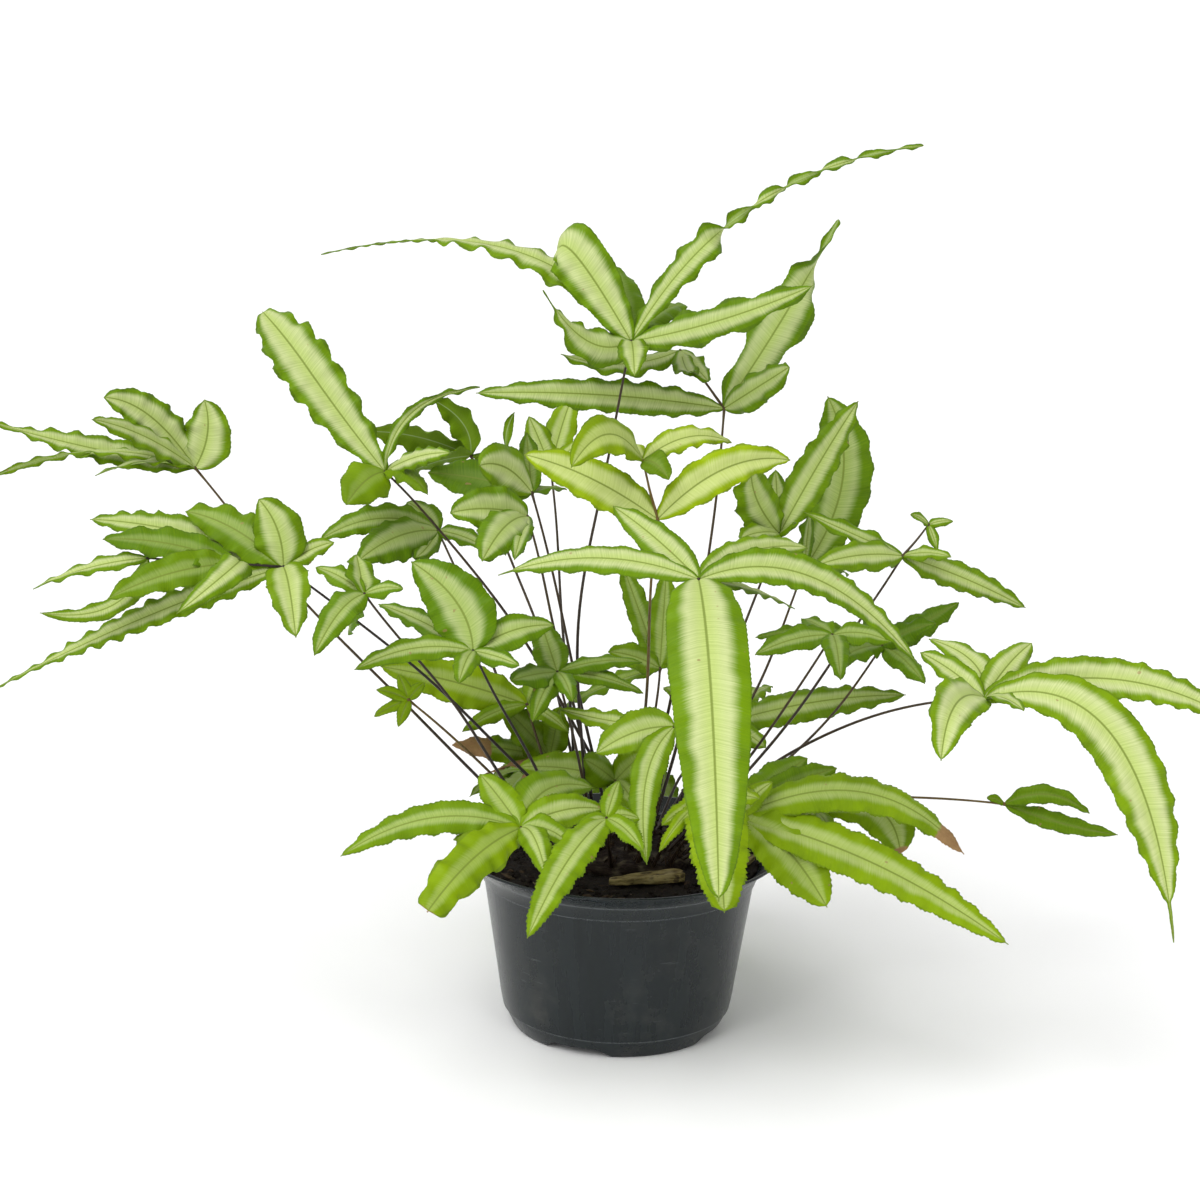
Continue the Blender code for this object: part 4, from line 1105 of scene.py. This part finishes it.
def leaf_material(name, colours, pattern, ageing, under):
    """The upper or under face of every leaflet. Its attributes say how striped, yellow and dark each is."""
    made, tree, shader = new_material(name, specular=0.06 if under else 0.09)
    stripe, lime, dark = tree.split(tree.attribute("look"))
    parts = tree.group(pattern, Blade=tree.attribute("blade"), Stripe=stripe)
    where = tree.object_place()
    cloudy = tree.noise(45.0, where=where, detail=3.0)
    # The dark look and the dark green are partly the leaflets' own older green and partly painted shade on
    # leaflets deep in the plant
    deep = tree.mix(dark, tree.mix(lime, colours.leaf_green, colours.leaf_lime), colours.leaf_dark)
    deep = tree.mix(tree.step(cloudy, 0.35, 0.7, 0.0, 0.35), deep, colours.leaf_dark)
    deep = tree.mix(tree.step(parts["Veins"], 0.35, 0.75, 0.0, 0.14), deep, colours.leaf_lime)
    # Beside the midrib the band takes a darker, greener pale: painted shade of the midrib's crease
    pale = tree.mix(tree.step(parts["Part"], 0.0, 0.5), colours.band_crease_shade, colours.band_pale)
    pale = tree.mix(tree.step(lime, 0.5, 1.0, 0.0, 0.75), pale, colours.band_young)
    pale = tree.mix(tree.math("MULTIPLY", dark, 0.8), pale, deep)
    pale = tree.mix(tree.step(parts["Veins"], 0.32, 0.66, 0.26, 0.0), pale, deep)
    band, height, rib, smooth, rough = parts["Band"], parts["Height"], RIB_TOP, 0.40, 0.52
    if under:
        deep = tree.mix(0.3, deep, colours.leaf_under)
        band = tree.math("MULTIPLY", band, 0.45)
        height = tree.math("MULTIPLY", height, -1.0)
        rib, smooth, rough = RIB_UNDER, 0.55, 0.68
    colour = tree.mix(band, deep, pale)
    colour = tree.mix(tree.math("MULTIPLY", parts["Rim"], 0.4), colour, LEAF_RIM)
    colour = tree.mix(tree.math("MULTIPLY", parts["Midrib"], 0.8), colour, rib)
    aged = tree.group(ageing, Colour=colour, Dry=tree.attribute("dry", "Fac"))
    tree.join(aged["Colour"], shader["Base Color"])
    rough = tree.step(tree.noise(90.0, where=where), 0.3, 0.7, smooth, rough)
    tree.join(tree.math("MAXIMUM", rough, tree.math("MULTIPLY", aged["Browning"], 0.8)), shader["Roughness"])
    add_bump(tree, shader, height, 0.4, 0.25)
    return made


def stalk_material(colours):
    """A wiry stalk: nearly black at its foot, browner and greener towards the leaflets."""
    made, tree, shader = new_material("Stalk", specular=0.3)
    along = tree.split(tree.attribute("blade"))[0]
    youth = tree.split(tree.attribute("look"))[0]
    where = tree.object_place()
    streaks = tree.grain(where, (900.0, 900.0, 60.0), 3.0)
    patches = tree.noise(70.0, where=where)
    streaked = tree.step(streaks, 0.3, 0.7)
    base = tree.mix(streaked, colours.stalk_foot, STALK_STREAK)
    young = tree.mix(streaked, colours.stalk_young, YOUNG_STALK_STREAK)
    up = tree.step(tree.swung(along, patches, 0.8), 0.0, 1.0)
    tree.join(tree.mix(tree.math("MULTIPLY", up, youth), base, young), shader["Base Color"])
    tree.join(tree.step(streaks, 0.2, 0.8, 0.25, 0.5), shader["Roughness"])
    add_bump(tree, shader, streaks, 0.4, 0.2)
    return made


def pot_material(colours):
    """Dark moulded plastic with faint upright flow streaks, scuffs, painted highlight lines along its edges
    and a little dust.
    """
    made, tree, shader = new_material("Pot plastic", specular=0.3)
    where = tree.object_place()
    streaks = tree.grain(where, (120.0, 120.0, 6.0), 4.0, 0.6)
    dust = tree.noise(38.0, where=where, detail=5.0, roughness=0.65)
    scuffs = tree.grain(where, (60.0, 60.0, 900.0), 2.0)
    grain = tree.noise(1400.0, where=where, detail=1.0)
    up = tree.split(where)[2]
    low = tree.step(up, 0.004, 0.05, 0.14, 0.0)
    colour = tree.mix(tree.step(streaks, 0.1, 0.9), colours.plastic, colours.plastic_light)
    dusty = tree.math("MULTIPLY", tree.step(dust, 0.5, 0.75), tree.math("ADD", low, 0.05))
    colour = tree.mix(dusty, colour, POT_DUST)
    scuffs_and_highlights = tree.math("MULTIPLY", tree.step(scuffs, 0.66, 0.72), tree.step(dust, 0.5, 0.6, 0.0, 0.12))
    # Pale lines at the edges' heights are painted highlights; the scuff colour serves both them and the real
    # scuffs
    highlight_strength = tree.step(streaks, 0.2, 0.7, 0.14, 0.3)
    for height in HIGHLIGHT_EDGE_HEIGHTS:
        off = tree.math("ABSOLUTE", tree.math("SUBTRACT", up, height * MM))
        line = tree.step(off, 0.2 * MM, 0.7 * MM, 1.0, 0.0)
        scuffs_and_highlights = tree.math("MAXIMUM", scuffs_and_highlights, tree.math("MULTIPLY", line, highlight_strength))
    tree.join(tree.mix(scuffs_and_highlights, colour, POT_SCUFF_AND_HIGHLIGHT), shader["Base Color"])
    tree.join(tree.math("ADD", tree.step(streaks, 0.2, 0.8, 0.22, 0.32), dusty), shader["Roughness"])
    add_bump(tree, shader, grain, 0.06, 0.1)
    return made


def soil_material(colours):
    """Damp peat and bark: nearly black, with brown fibres and pale specks."""
    made, tree, shader = new_material("Potting soil", specular=0.12)
    where = tree.object_place()
    clods = tree.noise(220.0, where=where, detail=6.0, roughness=0.7)
    fibres = tree.grain(where, (260.0, 1500.0, 400.0), 3.0)
    specks = tree.noise(700.0, where=where, detail=1.0)
    colour = tree.mix(tree.step(clods, 0.3, 0.75), colours.soil_dark, colours.soil_light)
    colour = tree.mix(tree.step(fibres, 0.6, 0.72, 0.0, 0.35), colour, PEAT_FIBRE)
    colour = tree.mix(tree.step(specks, 0.76, 0.8, 0.0, 0.7), colour, PEAT_SPECK)
    tree.join(colour, shader["Base Color"])
    tree.join(tree.step(clods, 0.3, 0.8, 0.65, 0.95), shader["Roughness"])
    add_bump(tree, shader, tree.math("ADD", clods, tree.math("MULTIPLY", fibres, 0.4)), 1.0, 1.2)
    return made


def bark_material(name):
    """Weathered bark or husk with a long grain and cracks."""
    dark, light = BARKS[name]
    made, tree, shader = new_material(name, specular=0.12)
    where = tree.attribute("grain")
    grain = tree.grain(where, (90.0, 900.0, 900.0), 5.0, 0.6)
    cracks = tree.grain(where, (160.0, 520.0, 300.0), 3.0)
    patches = tree.noise(130.0, where=where)
    colour = tree.mix(tree.step(grain, 0.32, 0.68), dark, light)
    colour = tree.mix(tree.step(cracks, 0.56, 0.64, 0.0, 0.8), colour, BARK_CRACK)
    weathered = tree.mix(0.5, light, BARK_WEATHERED)
    colour = tree.mix(tree.step(patches, 0.5, 0.75, 0.0, 0.3), colour, weathered)
    tree.join(colour, shader["Base Color"])
    tree.join(tree.step(grain, 0.3, 0.7, 0.9, 0.7), shader["Roughness"])
    add_bump(tree, shader, tree.math("SUBTRACT", grain, cracks), 1.0, 0.8)
    return made


def finish_piece(piece, materials, node):
    """Gives a piece its materials, hangs it under the root body and hides the CAD node it replaces."""
    for material in materials:
        piece.data.materials.append(material)
    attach(piece, "root")
    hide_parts(node)


def scattered(name, base, places):
    """Many small copies of a base mesh as one piece. places holds (middle, turn, size) in millimetres."""
    count = len(base.vertices)
    corners = vertex_places(base)
    polygons = [tuple(polygon.vertices) for polygon in base.polygons]
    points, faces, grain = [], [], []
    for i, (middle, turn, size) in enumerate(places):
        rotation = np.array(Euler(turn).to_matrix())
        points.append((corners * size) @ rotation.T + np.array(middle))
        grain.append(corners * size + i * 13.7)
        faces.extend(tuple(v + i * count for v in polygon) for polygon in polygons)
    made = bpy.data.meshes.new(name)
    made.from_pydata((np.concatenate(points) * MM).tolist(), [], faces)
    keep_grain(made, np.concatenate(grain) * MM)
    made.shade_smooth()
    return linked(name, made)


def vertex_places(mesh):
    flat = np.empty(len(mesh.vertices) * 3)
    mesh.vertices.foreach_get("co", flat)
    return flat.reshape(-1, 3)


def keep_grain(mesh, places):
    """Keeps each vertex's place before it is turned, for a grain that follows the piece."""
    attribute = mesh.attributes.new("grain", "FLOAT_VECTOR", "POINT")
    attribute.data.foreach_set("vector", places.ravel())


def crumb_mesh(seed, roughness=0.28):
    """One small lump of a few dozen faces, 1 mm across."""
    deselect_all()
    bpy.ops.mesh.primitive_ico_sphere_add(subdivisions=2, radius=0.5)
    lump = bpy.context.object
    for vertex in lump.data.vertices:
        push = noise.noise(Vector(vertex.co) * 2.2 + Vector((seed * 7.1, 0, 0)))
        vertex.co *= 1 + roughness * 2 * push
    mesh = lump.data
    bpy.data.objects.remove(lump)
    return mesh


def crown_reach(angle):
    """How far the crown reaches from the pot's axis in this direction."""
    front = max(-math.sin(angle), 0) ** 2
    return CROWN_RADIUS + (CROWN_FRONT_RADIUS - CROWN_RADIUS) * front


def colour_setting(name, description, default):
    return bpy.props.FloatVectorProperty(
        name=name, description=description, subtype="COLOR", default=default, min=0, max=1)


def number_setting(name, description, default, low, high, **kind):
    return bpy.props.FloatProperty(
        name=name, description=description, default=default, min=low, max=high, **kind)


class FernSettings(bpy.types.PropertyGroup):
    blade_thickness: number_setting(
        "Blade Thickness", "Thickness of a leaflet, in millimetres", 0.4, 0.1, 2.0)
    tooth_length: number_setting(
        "Tooth Length", "Spacing of the teeth along a margin, in millimetres", 2.4, 1.0, 8.0)
    tooth_depth: number_setting("Tooth Depth", "How far the teeth stand out, in millimetres", 0.2, 0.0, 3.0)
    wave_length: number_setting(
        "Wave Length", "Spacing of the waves along a margin, in millimetres", 13.0, 3.0, 60.0)
    wave_height: number_setting(
        "Wave Height", "How far the margins rise and fall, in millimetres", 2.1, 0.0, 6.0)
    stalk_wander: number_setting(
        "Stalk Wander", "How far the stalks stray from an even curve, as a part of their length",
        1.8, 0.0, 10.0, subtype="PERCENTAGE")
    leaf_green: colour_setting("Leaf Green", "Green of a leaflet's margins", (0.095, 0.205, 0.002))
    leaf_lime: colour_setting(
        "Leaf Lime", "Yellower green of the low and young fronds", (0.270, 0.385, 0.002))
    leaf_dark: colour_setting(
        "Leaf Dark Green", "Green of the shaded and old leaflets", (0.045, 0.105, 0.002))
    leaf_under: colour_setting("Leaf Underside", "Dull green of the undersides", (0.130, 0.215, 0.008))
    band_pale: colour_setting(
        "Band", "Pale green of the band along a leaflet's middle", (0.520, 0.575, 0.270))
    # The band's pale beside the midrib is painted shade of the crease there
    band_crease_shade: colour_setting(
        "Band Middle", "Greener pale of the band beside the midrib", (0.460, 0.555, 0.170))
    band_young: colour_setting("Young Band", "Band of the young and low leaflets", (0.480, 0.550, 0.180))
    stalk_foot: colour_setting("Stalk Foot", "Colour of the stalks near the soil", (0.010, 0.007, 0.005))
    stalk_young: colour_setting(
        "Young Stalk", "Colour of the young stalks near their leaflets", (0.105, 0.055, 0.012))


class PotSettings(bpy.types.PropertyGroup):
    notch_width: number_setting(
        "Notch Width", "Width of the drain notches in the foot, in millimetres", 24.0, 5.0, 60.0)
    notch_height: number_setting(
        "Notch Height", "Height of the drain notches in the foot, in millimetres", 4.4, 1.0, 9.0)
    plastic: colour_setting("Plastic", "Colour of the pot", (0.007, 0.010, 0.011))
    plastic_light: colour_setting(
        "Plastic Streaks", "Lighter streaks in the pot's plastic", (0.012, 0.017, 0.019))


class SoilSettings(bpy.types.PropertyGroup):
    crumb_count: bpy.props.IntProperty(
        name="Crumbs", description="Number of loose crumbs on the soil", default=520, min=0, max=3000)
    soil_dark: colour_setting("Soil Dark", "Damp peat", (0.004, 0.003, 0.002))
    soil_light: colour_setting("Soil Light", "Drier peat", (0.016, 0.011, 0.008))


class StageSettings(bpy.types.PropertyGroup):
    floor_colour: colour_setting("Floor", "Colour of the floor", (0.93, 0.93, 0.93))
    key_strength: number_setting(
        "Key Light", "Strength of the soft light from above at the left", 2.3, 0.0, 20.0)
    strip_power: number_setting(
        "Strip Lamps", "Power of each tall narrow lamp beside the camera", 7.0, 0.0, 500.0, unit="POWER")
    sky: number_setting(
        "Sky", "Strength of the even light from the sides, the back and above", 0.75, 0.0, 5.0)
    front_sky: number_setting(
        "Front Sky", "Strength of the weaker light from the camera's side", 0.35, 0.0, 5.0)


class FERN_OT_fronds(bpy.types.Operator):
    """Adds every frond: a wiry stalk with its whorl of striped, wavy leaflets"""

    bl_idname = "fern.fronds"
    bl_label = "Add Fronds"

    def execute(self, context):
        sizes = context.scene.fern_leaves
        groups = (leaf_pattern_group(), ageing_group())
        materials = (
            leaf_material("Leaflet upper face", sizes, *groups, under=False),
            leaf_material("Leaflet underside", sizes, *groups, under=True),
            stalk_material(sizes),
        )
        for number, frond in enumerate(FRONDS):
            finish_piece(build_frond(frond, number, sizes), materials, "fern")
        return {"FINISHED"}


class FERN_OT_crown(bpy.types.Operator):
    """Adds the knotted crown on the soil that every stalk grows from"""

    bl_idname = "fern.crown"
    bl_label = "Add Crown"

    def execute(self, context):
        profile = [(CROWN_RADIUS - 2, SOIL_TOP_HEIGHT - 1.5)]
        profile += [(CROWN_RADIUS - 1.5 - 2.2 * i, CROWN_TOP - 2.2 * math.exp(-i / 2)) for i in range(18)]
        profile += [(0.4, CROWN_TOP)]
        crown = turned_piece("crown", profile, CROWN_SIDES)
        for vertex in crown.data.vertices:
            angle = math.atan2(vertex.co.y, vertex.co.x)
            reach = crown_reach(angle) / CROWN_RADIUS
            vertex.co.x *= reach
            vertex.co.y *= reach
            lump = noise.fractal(vertex.co * 110, 0.9, 2.1, 4)
            if vertex.co.z > (SOIL_TOP_HEIGHT - 1) * MM:
                vertex.co.z += lump * 2.4 * MM
        crown.data.shade_smooth()
        keep_grain(crown.data, vertex_places(crown.data))
        finish_piece(crown, [bark_material("Rhizome")], "fern")
        dice = np.random.default_rng(7)
        places = []
        for frond in FRONDS:
            for i in range(SCALES_PER_STALK):
                angle = dice.uniform(0, 2 * math.pi)
                off = dice.uniform(0.6, 3.4)
                across, back = frond.foot
                middle = (across + off * math.cos(angle), back + off * math.sin(angle), CROWN_TOP + 1.0)
                lean = (dice.uniform(-0.7, 0.7), dice.uniform(-0.7, 0.7), angle)
                size = np.array((dice.uniform(0.8, 1.5), dice.uniform(0.25, 0.5), dice.uniform(3, 6.5)))
                places.append((middle, lean, size))
        scales = scattered("crown_scales", crumb_mesh(3, 0.1), places)
        finish_piece(scales, [bark_material("Rhizome scales")], "fern")
        return {"FINISHED"}


def notch_cutter(turn, sizes):
    """A rounded block that widens towards the floor, standing in the pot's foot."""
    deselect_all()
    bpy.ops.mesh.primitive_cube_add(size=1)
    cutter = bpy.context.object
    cutter.scale = Vector((NOTCH_DEPTH, sizes.notch_width, 2 * sizes.notch_height)) * MM
    bpy.ops.object.transform_apply(scale=True)
    bpy.ops.object.mode_set(mode="EDIT")
    bpy.ops.mesh.select_all(action="DESELECT")
    shape = bmesh.from_edit_mesh(cutter.data)
    for face in shape.faces:
        face.select_set(face.normal.z < -0.5)
    shape.select_flush(True)
    bmesh.update_edit_mesh(cutter.data)
    bpy.ops.transform.resize(value=(1, NOTCH_SPREAD, 1))
    bpy.ops.object.mode_set(mode="OBJECT")
    cutter.location = Vector((math.cos(turn), math.sin(turn), 0)) * NOTCH_RADIUS * MM
    cutter.rotation_euler.z = turn
    bpy.ops.object.transform_apply(location=True, rotation=True, scale=True)
    apply_modifier(cutter, "Round", "BEVEL", width=NOTCH_ROUNDING * MM, segments=3)
    return cutter


class FERN_OT_pot(bpy.types.Operator):
    """Adds the flared pot with its stepped foot, moulded collar, thin wall and drain notches"""

    bl_idname = "fern.pot"
    bl_label = "Add Pot"

    def execute(self, context):
        sizes = context.scene.fern_pot
        pot = turned_piece("pot_shell", POT_UNDERSIDE + POT_OUTSIDE + POT_INSIDE, TURNED_SIDES)
        for i in range(NOTCH_COUNT):
            cutter = notch_cutter(NOTCH_TURN + 2 * math.pi * i / NOTCH_COUNT, sizes)
            apply_modifier(pot, "Notch", "BOOLEAN", operation="DIFFERENCE", solver="EXACT", object=cutter)
            bpy.data.objects.remove(cutter)
        only(pot)
        bpy.ops.object.shade_smooth_by_angle(angle=math.radians(32))
        finish_piece(pot, [pot_material(sizes)], "pot")
        return {"FINISHED"}


def scattered_places(count, wood, dice):
    """Places for crumbs or bits of bark on the open soil around the crown."""
    places = []
    while len(places) < count:
        angle = dice.uniform(0, 2 * math.pi)
        radius = SOIL_RADIUS * math.sqrt(dice.uniform(0, 1))
        if radius < crown_reach(angle) - 3:
            continue
        size = dice.uniform(1.2, 3.6) * dice.uniform(0.6, 1.2, 3)
        if wood:
            size = np.array((dice.uniform(4, 9), dice.uniform(1.5, 3), dice.uniform(0.8, 1.6)))
        middle = (radius * math.cos(angle), radius * math.sin(angle), SOIL_EDGE_HEIGHT + 1.2)
        turn = (dice.uniform(-0.4, 0.4), dice.uniform(-0.4, 0.4), dice.uniform(0, 6.28))
        places.append((middle, turn, size))
    return places


class FERN_OT_soil(bpy.types.Operator):
    """Adds the potting soil with its uneven top and the loose crumbs on it"""

    bl_idname = "fern.soil"
    bl_label = "Add Soil"

    def execute(self, context):
        sizes = context.scene.fern_soil
        covered = [step for step in reversed(POT_INSIDE) if step[1] < SOIL_EDGE_HEIGHT]
        wall = [(radius - 0.3, height) for radius, height in covered]
        profile = [(wall[0][0], SOIL_FLOOR)] + wall[1:] + [(SOIL_RADIUS + 0.1, SOIL_EDGE_HEIGHT - 0.8)]
        profile += [(70.0 - 2.0 * i, SOIL_EDGE_HEIGHT + 1.5 * (1 - math.exp(-i / 4))) for i in range(35)]
        soil = turned_piece("soil_body", profile, TURNED_SIDES)
        for vertex in soil.data.vertices:
            if vertex.co.z > (SOIL_EDGE_HEIGHT - 1) * MM:
                hills = 1.5 * noise.noise(vertex.co * 70)
                vertex.co.z += (hills + 1.3 * noise.fractal(vertex.co * 260, 0.8, 2, 3)) * MM
        soil.data.shade_smooth()
        peat = soil_material(sizes)
        finish_piece(soil, [peat], "potting_soil")
        dice = np.random.default_rng(11)
        crumbs = scattered("soil_crumbs", crumb_mesh(5), scattered_places(sizes.crumb_count, False, dice))
        finish_piece(crumbs, [peat], "potting_soil")
        bits = scattered("soil_bark_bits", crumb_mesh(6), scattered_places(BARK_BIT_COUNT, True, dice))
        finish_piece(bits, [bark_material("Bark bits")], "potting_soil")
        return {"FINISHED"}


class FERN_OT_bark(bpy.types.Operator):
    """Adds the larger pieces of bark that lie on the soil"""

    bl_idname = "fern.bark"
    bl_label = "Add Bark"

    def execute(self, context):
        finish = bark_material("Bark")
        for number, (name, (middle, turn, length, width, thickness)) in enumerate(BARK_CHIPS.items()):
            deselect_all()
            bpy.ops.mesh.primitive_cube_add(size=1)
            chip = bpy.context.object
            chip.scale = Vector((length, width, thickness)) * MM
            bpy.ops.object.transform_apply(scale=True)
            bpy.ops.object.mode_set(mode="EDIT")
            bpy.ops.mesh.select_all(action="SELECT")
            bpy.ops.mesh.subdivide(number_cuts=9)
            bpy.ops.object.mode_set(mode="OBJECT")
            apply_modifier(chip, "Edges", "BEVEL", width=0.6 * MM, segments=1, limit_method="ANGLE")
            seed = Vector((number * 3.7, 0, 0))
            for vertex in chip.data.vertices:
                part = vertex.co.x / (length * MM) * 2
                taper = (1 - 0.45 * abs(part) ** 3) * (0.78 + 0.22 * part)
                ragged = 1 + 0.3 * noise.noise(vertex.co * 160 + seed)
                vertex.co.y *= taper * ragged
                vertex.co.z *= 0.8 + 0.2 * part
                splinter = Vector((vertex.co.x * 90, vertex.co.y * 500, 0)) + seed
                vertex.co.z += 0.45 * MM * noise.fractal(splinter, 0.8, 2, 3)
                vertex.co.z *= 0.86
                vertex.co.x += 1.4 * MM * noise.noise(Vector((0, vertex.co.y * 420, 3)) + seed) * abs(part)
            chip.data.shade_smooth()
            chip.data.set_sharp_from_angle(angle=math.radians(50))
            keep_grain(chip.data, vertex_places(chip.data))
            chip.location = Vector(middle) * MM
            chip.rotation_euler.z = math.radians(turn)
            settle(chip, name.replace("chip", "piece"))
            finish_piece(chip, [finish], name)
        return {"FINISHED"}


def add_floor(sizes):
    deselect_all()
    bpy.ops.mesh.primitive_plane_add(size=FLOOR_SIZE)
    floor = bpy.context.object
    floor.name = "floor"
    pale, tree, shader = new_material("Pale floor", roughness=0.9, specular=0.2)
    tree.join(sizes.floor_colour, shader["Base Color"])
    floor.data.materials.append(pale)


def add_lights(sizes):
    """A broad soft light from above at the left, and a tall lamp on either side of the camera."""
    bpy.ops.object.light_add(type="SUN", rotation=(*map(math.radians, KEY_TILTS), 0))
    key = bpy.context.object
    key.name = "key_light"
    key.data.energy = sizes.key_strength
    key.data.angle = math.radians(KEY_SPREAD)
    for name, lamp_place in STRIP_LAMPS.items():
        bpy.ops.object.light_add(type="AREA", location=lamp_place)
        lamp = bpy.context.object
        lamp.name = name
        lamp.data.shape = "RECTANGLE"
        lamp.data.size, lamp.data.size_y = STRIP_SIZE
        lamp.data.energy = sizes.strip_power
        aim = STRIP_AIM - Vector(lamp_place)
        lamp.rotation_euler = aim.to_track_quat("-Z", "Y").to_euler()


def new_sky(sizes):
    """An even white sky that is weaker on the camera's side."""
    world = bpy.data.worlds.new("soft_sky")
    world.use_nodes = True
    background = world.node_tree.nodes["Background"].inputs
    sky = NodeTree(world.node_tree)
    back = sky.split(sky.node("ShaderNodeTexCoord").outputs["Generated"])[1]
    sky.join(sky.step(back, -0.8, 0.2, sizes.front_sky, sizes.sky), background["Strength"])
    background["Color"].default_value = (1, 1, 1, 1)
    return world


def add_camera():
    bpy.ops.object.camera_add(location=Vector(EYE) * MM)
    camera = bpy.context.object
    camera.name = "camera"
    camera.data.lens = LENS
    camera.data.sensor_width = SENSOR
    tilt = Euler((math.pi / 2 - EYE_TILT, 0, 0)).to_matrix()
    camera.rotation_euler = (tilt @ Euler((0, 0, EYE_ROLL)).to_matrix()).to_euler()
    return camera


class FERN_OT_stage(bpy.types.Operator):
    """Adds the pale floor, the soft lights and the camera"""

    bl_idname = "fern.stage"
    bl_label = "Add Stage"

    def execute(self, context):
        sizes = context.scene.fern_stage
        add_floor(sizes)
        add_lights(sizes)
        context.scene.world = new_sky(sizes)
        context.scene.view_settings.view_transform = "Standard"
        context.scene.camera = add_camera()
        return {"FINISHED"}


class FERN_PT_panel(bpy.types.Panel):
    """Lists the steps that build the potted fern"""

    bl_idname = "FERN_PT_panel"
    bl_label = "Potted Fern"
    bl_space_type = "VIEW_3D"
    bl_region_type = "UI"
    bl_category = "Fern"

    def draw(self, context):
        for title in SETTINGS:
            settings = getattr(context.scene, title)
            box = self.layout.box()
            for entry in settings.__annotations__:
                box.prop(settings, entry)
        for operator in OPERATORS:
            self.layout.operator(operator.bl_idname)


SETTINGS = {
    "fern_leaves": FernSettings,
    "fern_pot": PotSettings,
    "fern_soil": SoilSettings,
    "fern_stage": StageSettings,
}
OPERATORS = (FERN_OT_pot, FERN_OT_soil, FERN_OT_bark, FERN_OT_crown, FERN_OT_fronds, FERN_OT_stage)


def register():
    for kind in (*SETTINGS.values(), *OPERATORS, FERN_PT_panel):
        bpy.utils.register_class(kind)
    for title, kind in SETTINGS.items():
        setattr(bpy.types.Scene, title, bpy.props.PointerProperty(type=kind))


def unregister():
    for title in SETTINGS:
        delattr(bpy.types.Scene, title)
    for kind in reversed((*SETTINGS.values(), *OPERATORS, FERN_PT_panel)):
        bpy.utils.unregister_class(kind)


def main():
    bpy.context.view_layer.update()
    register()
    bpy.ops.fern.pot()
    bpy.ops.fern.soil()
    bpy.ops.fern.bark()
    bpy.ops.fern.crown()
    bpy.ops.fern.fronds()
    bpy.ops.fern.stage()


if __name__ == "__main__":
    main()
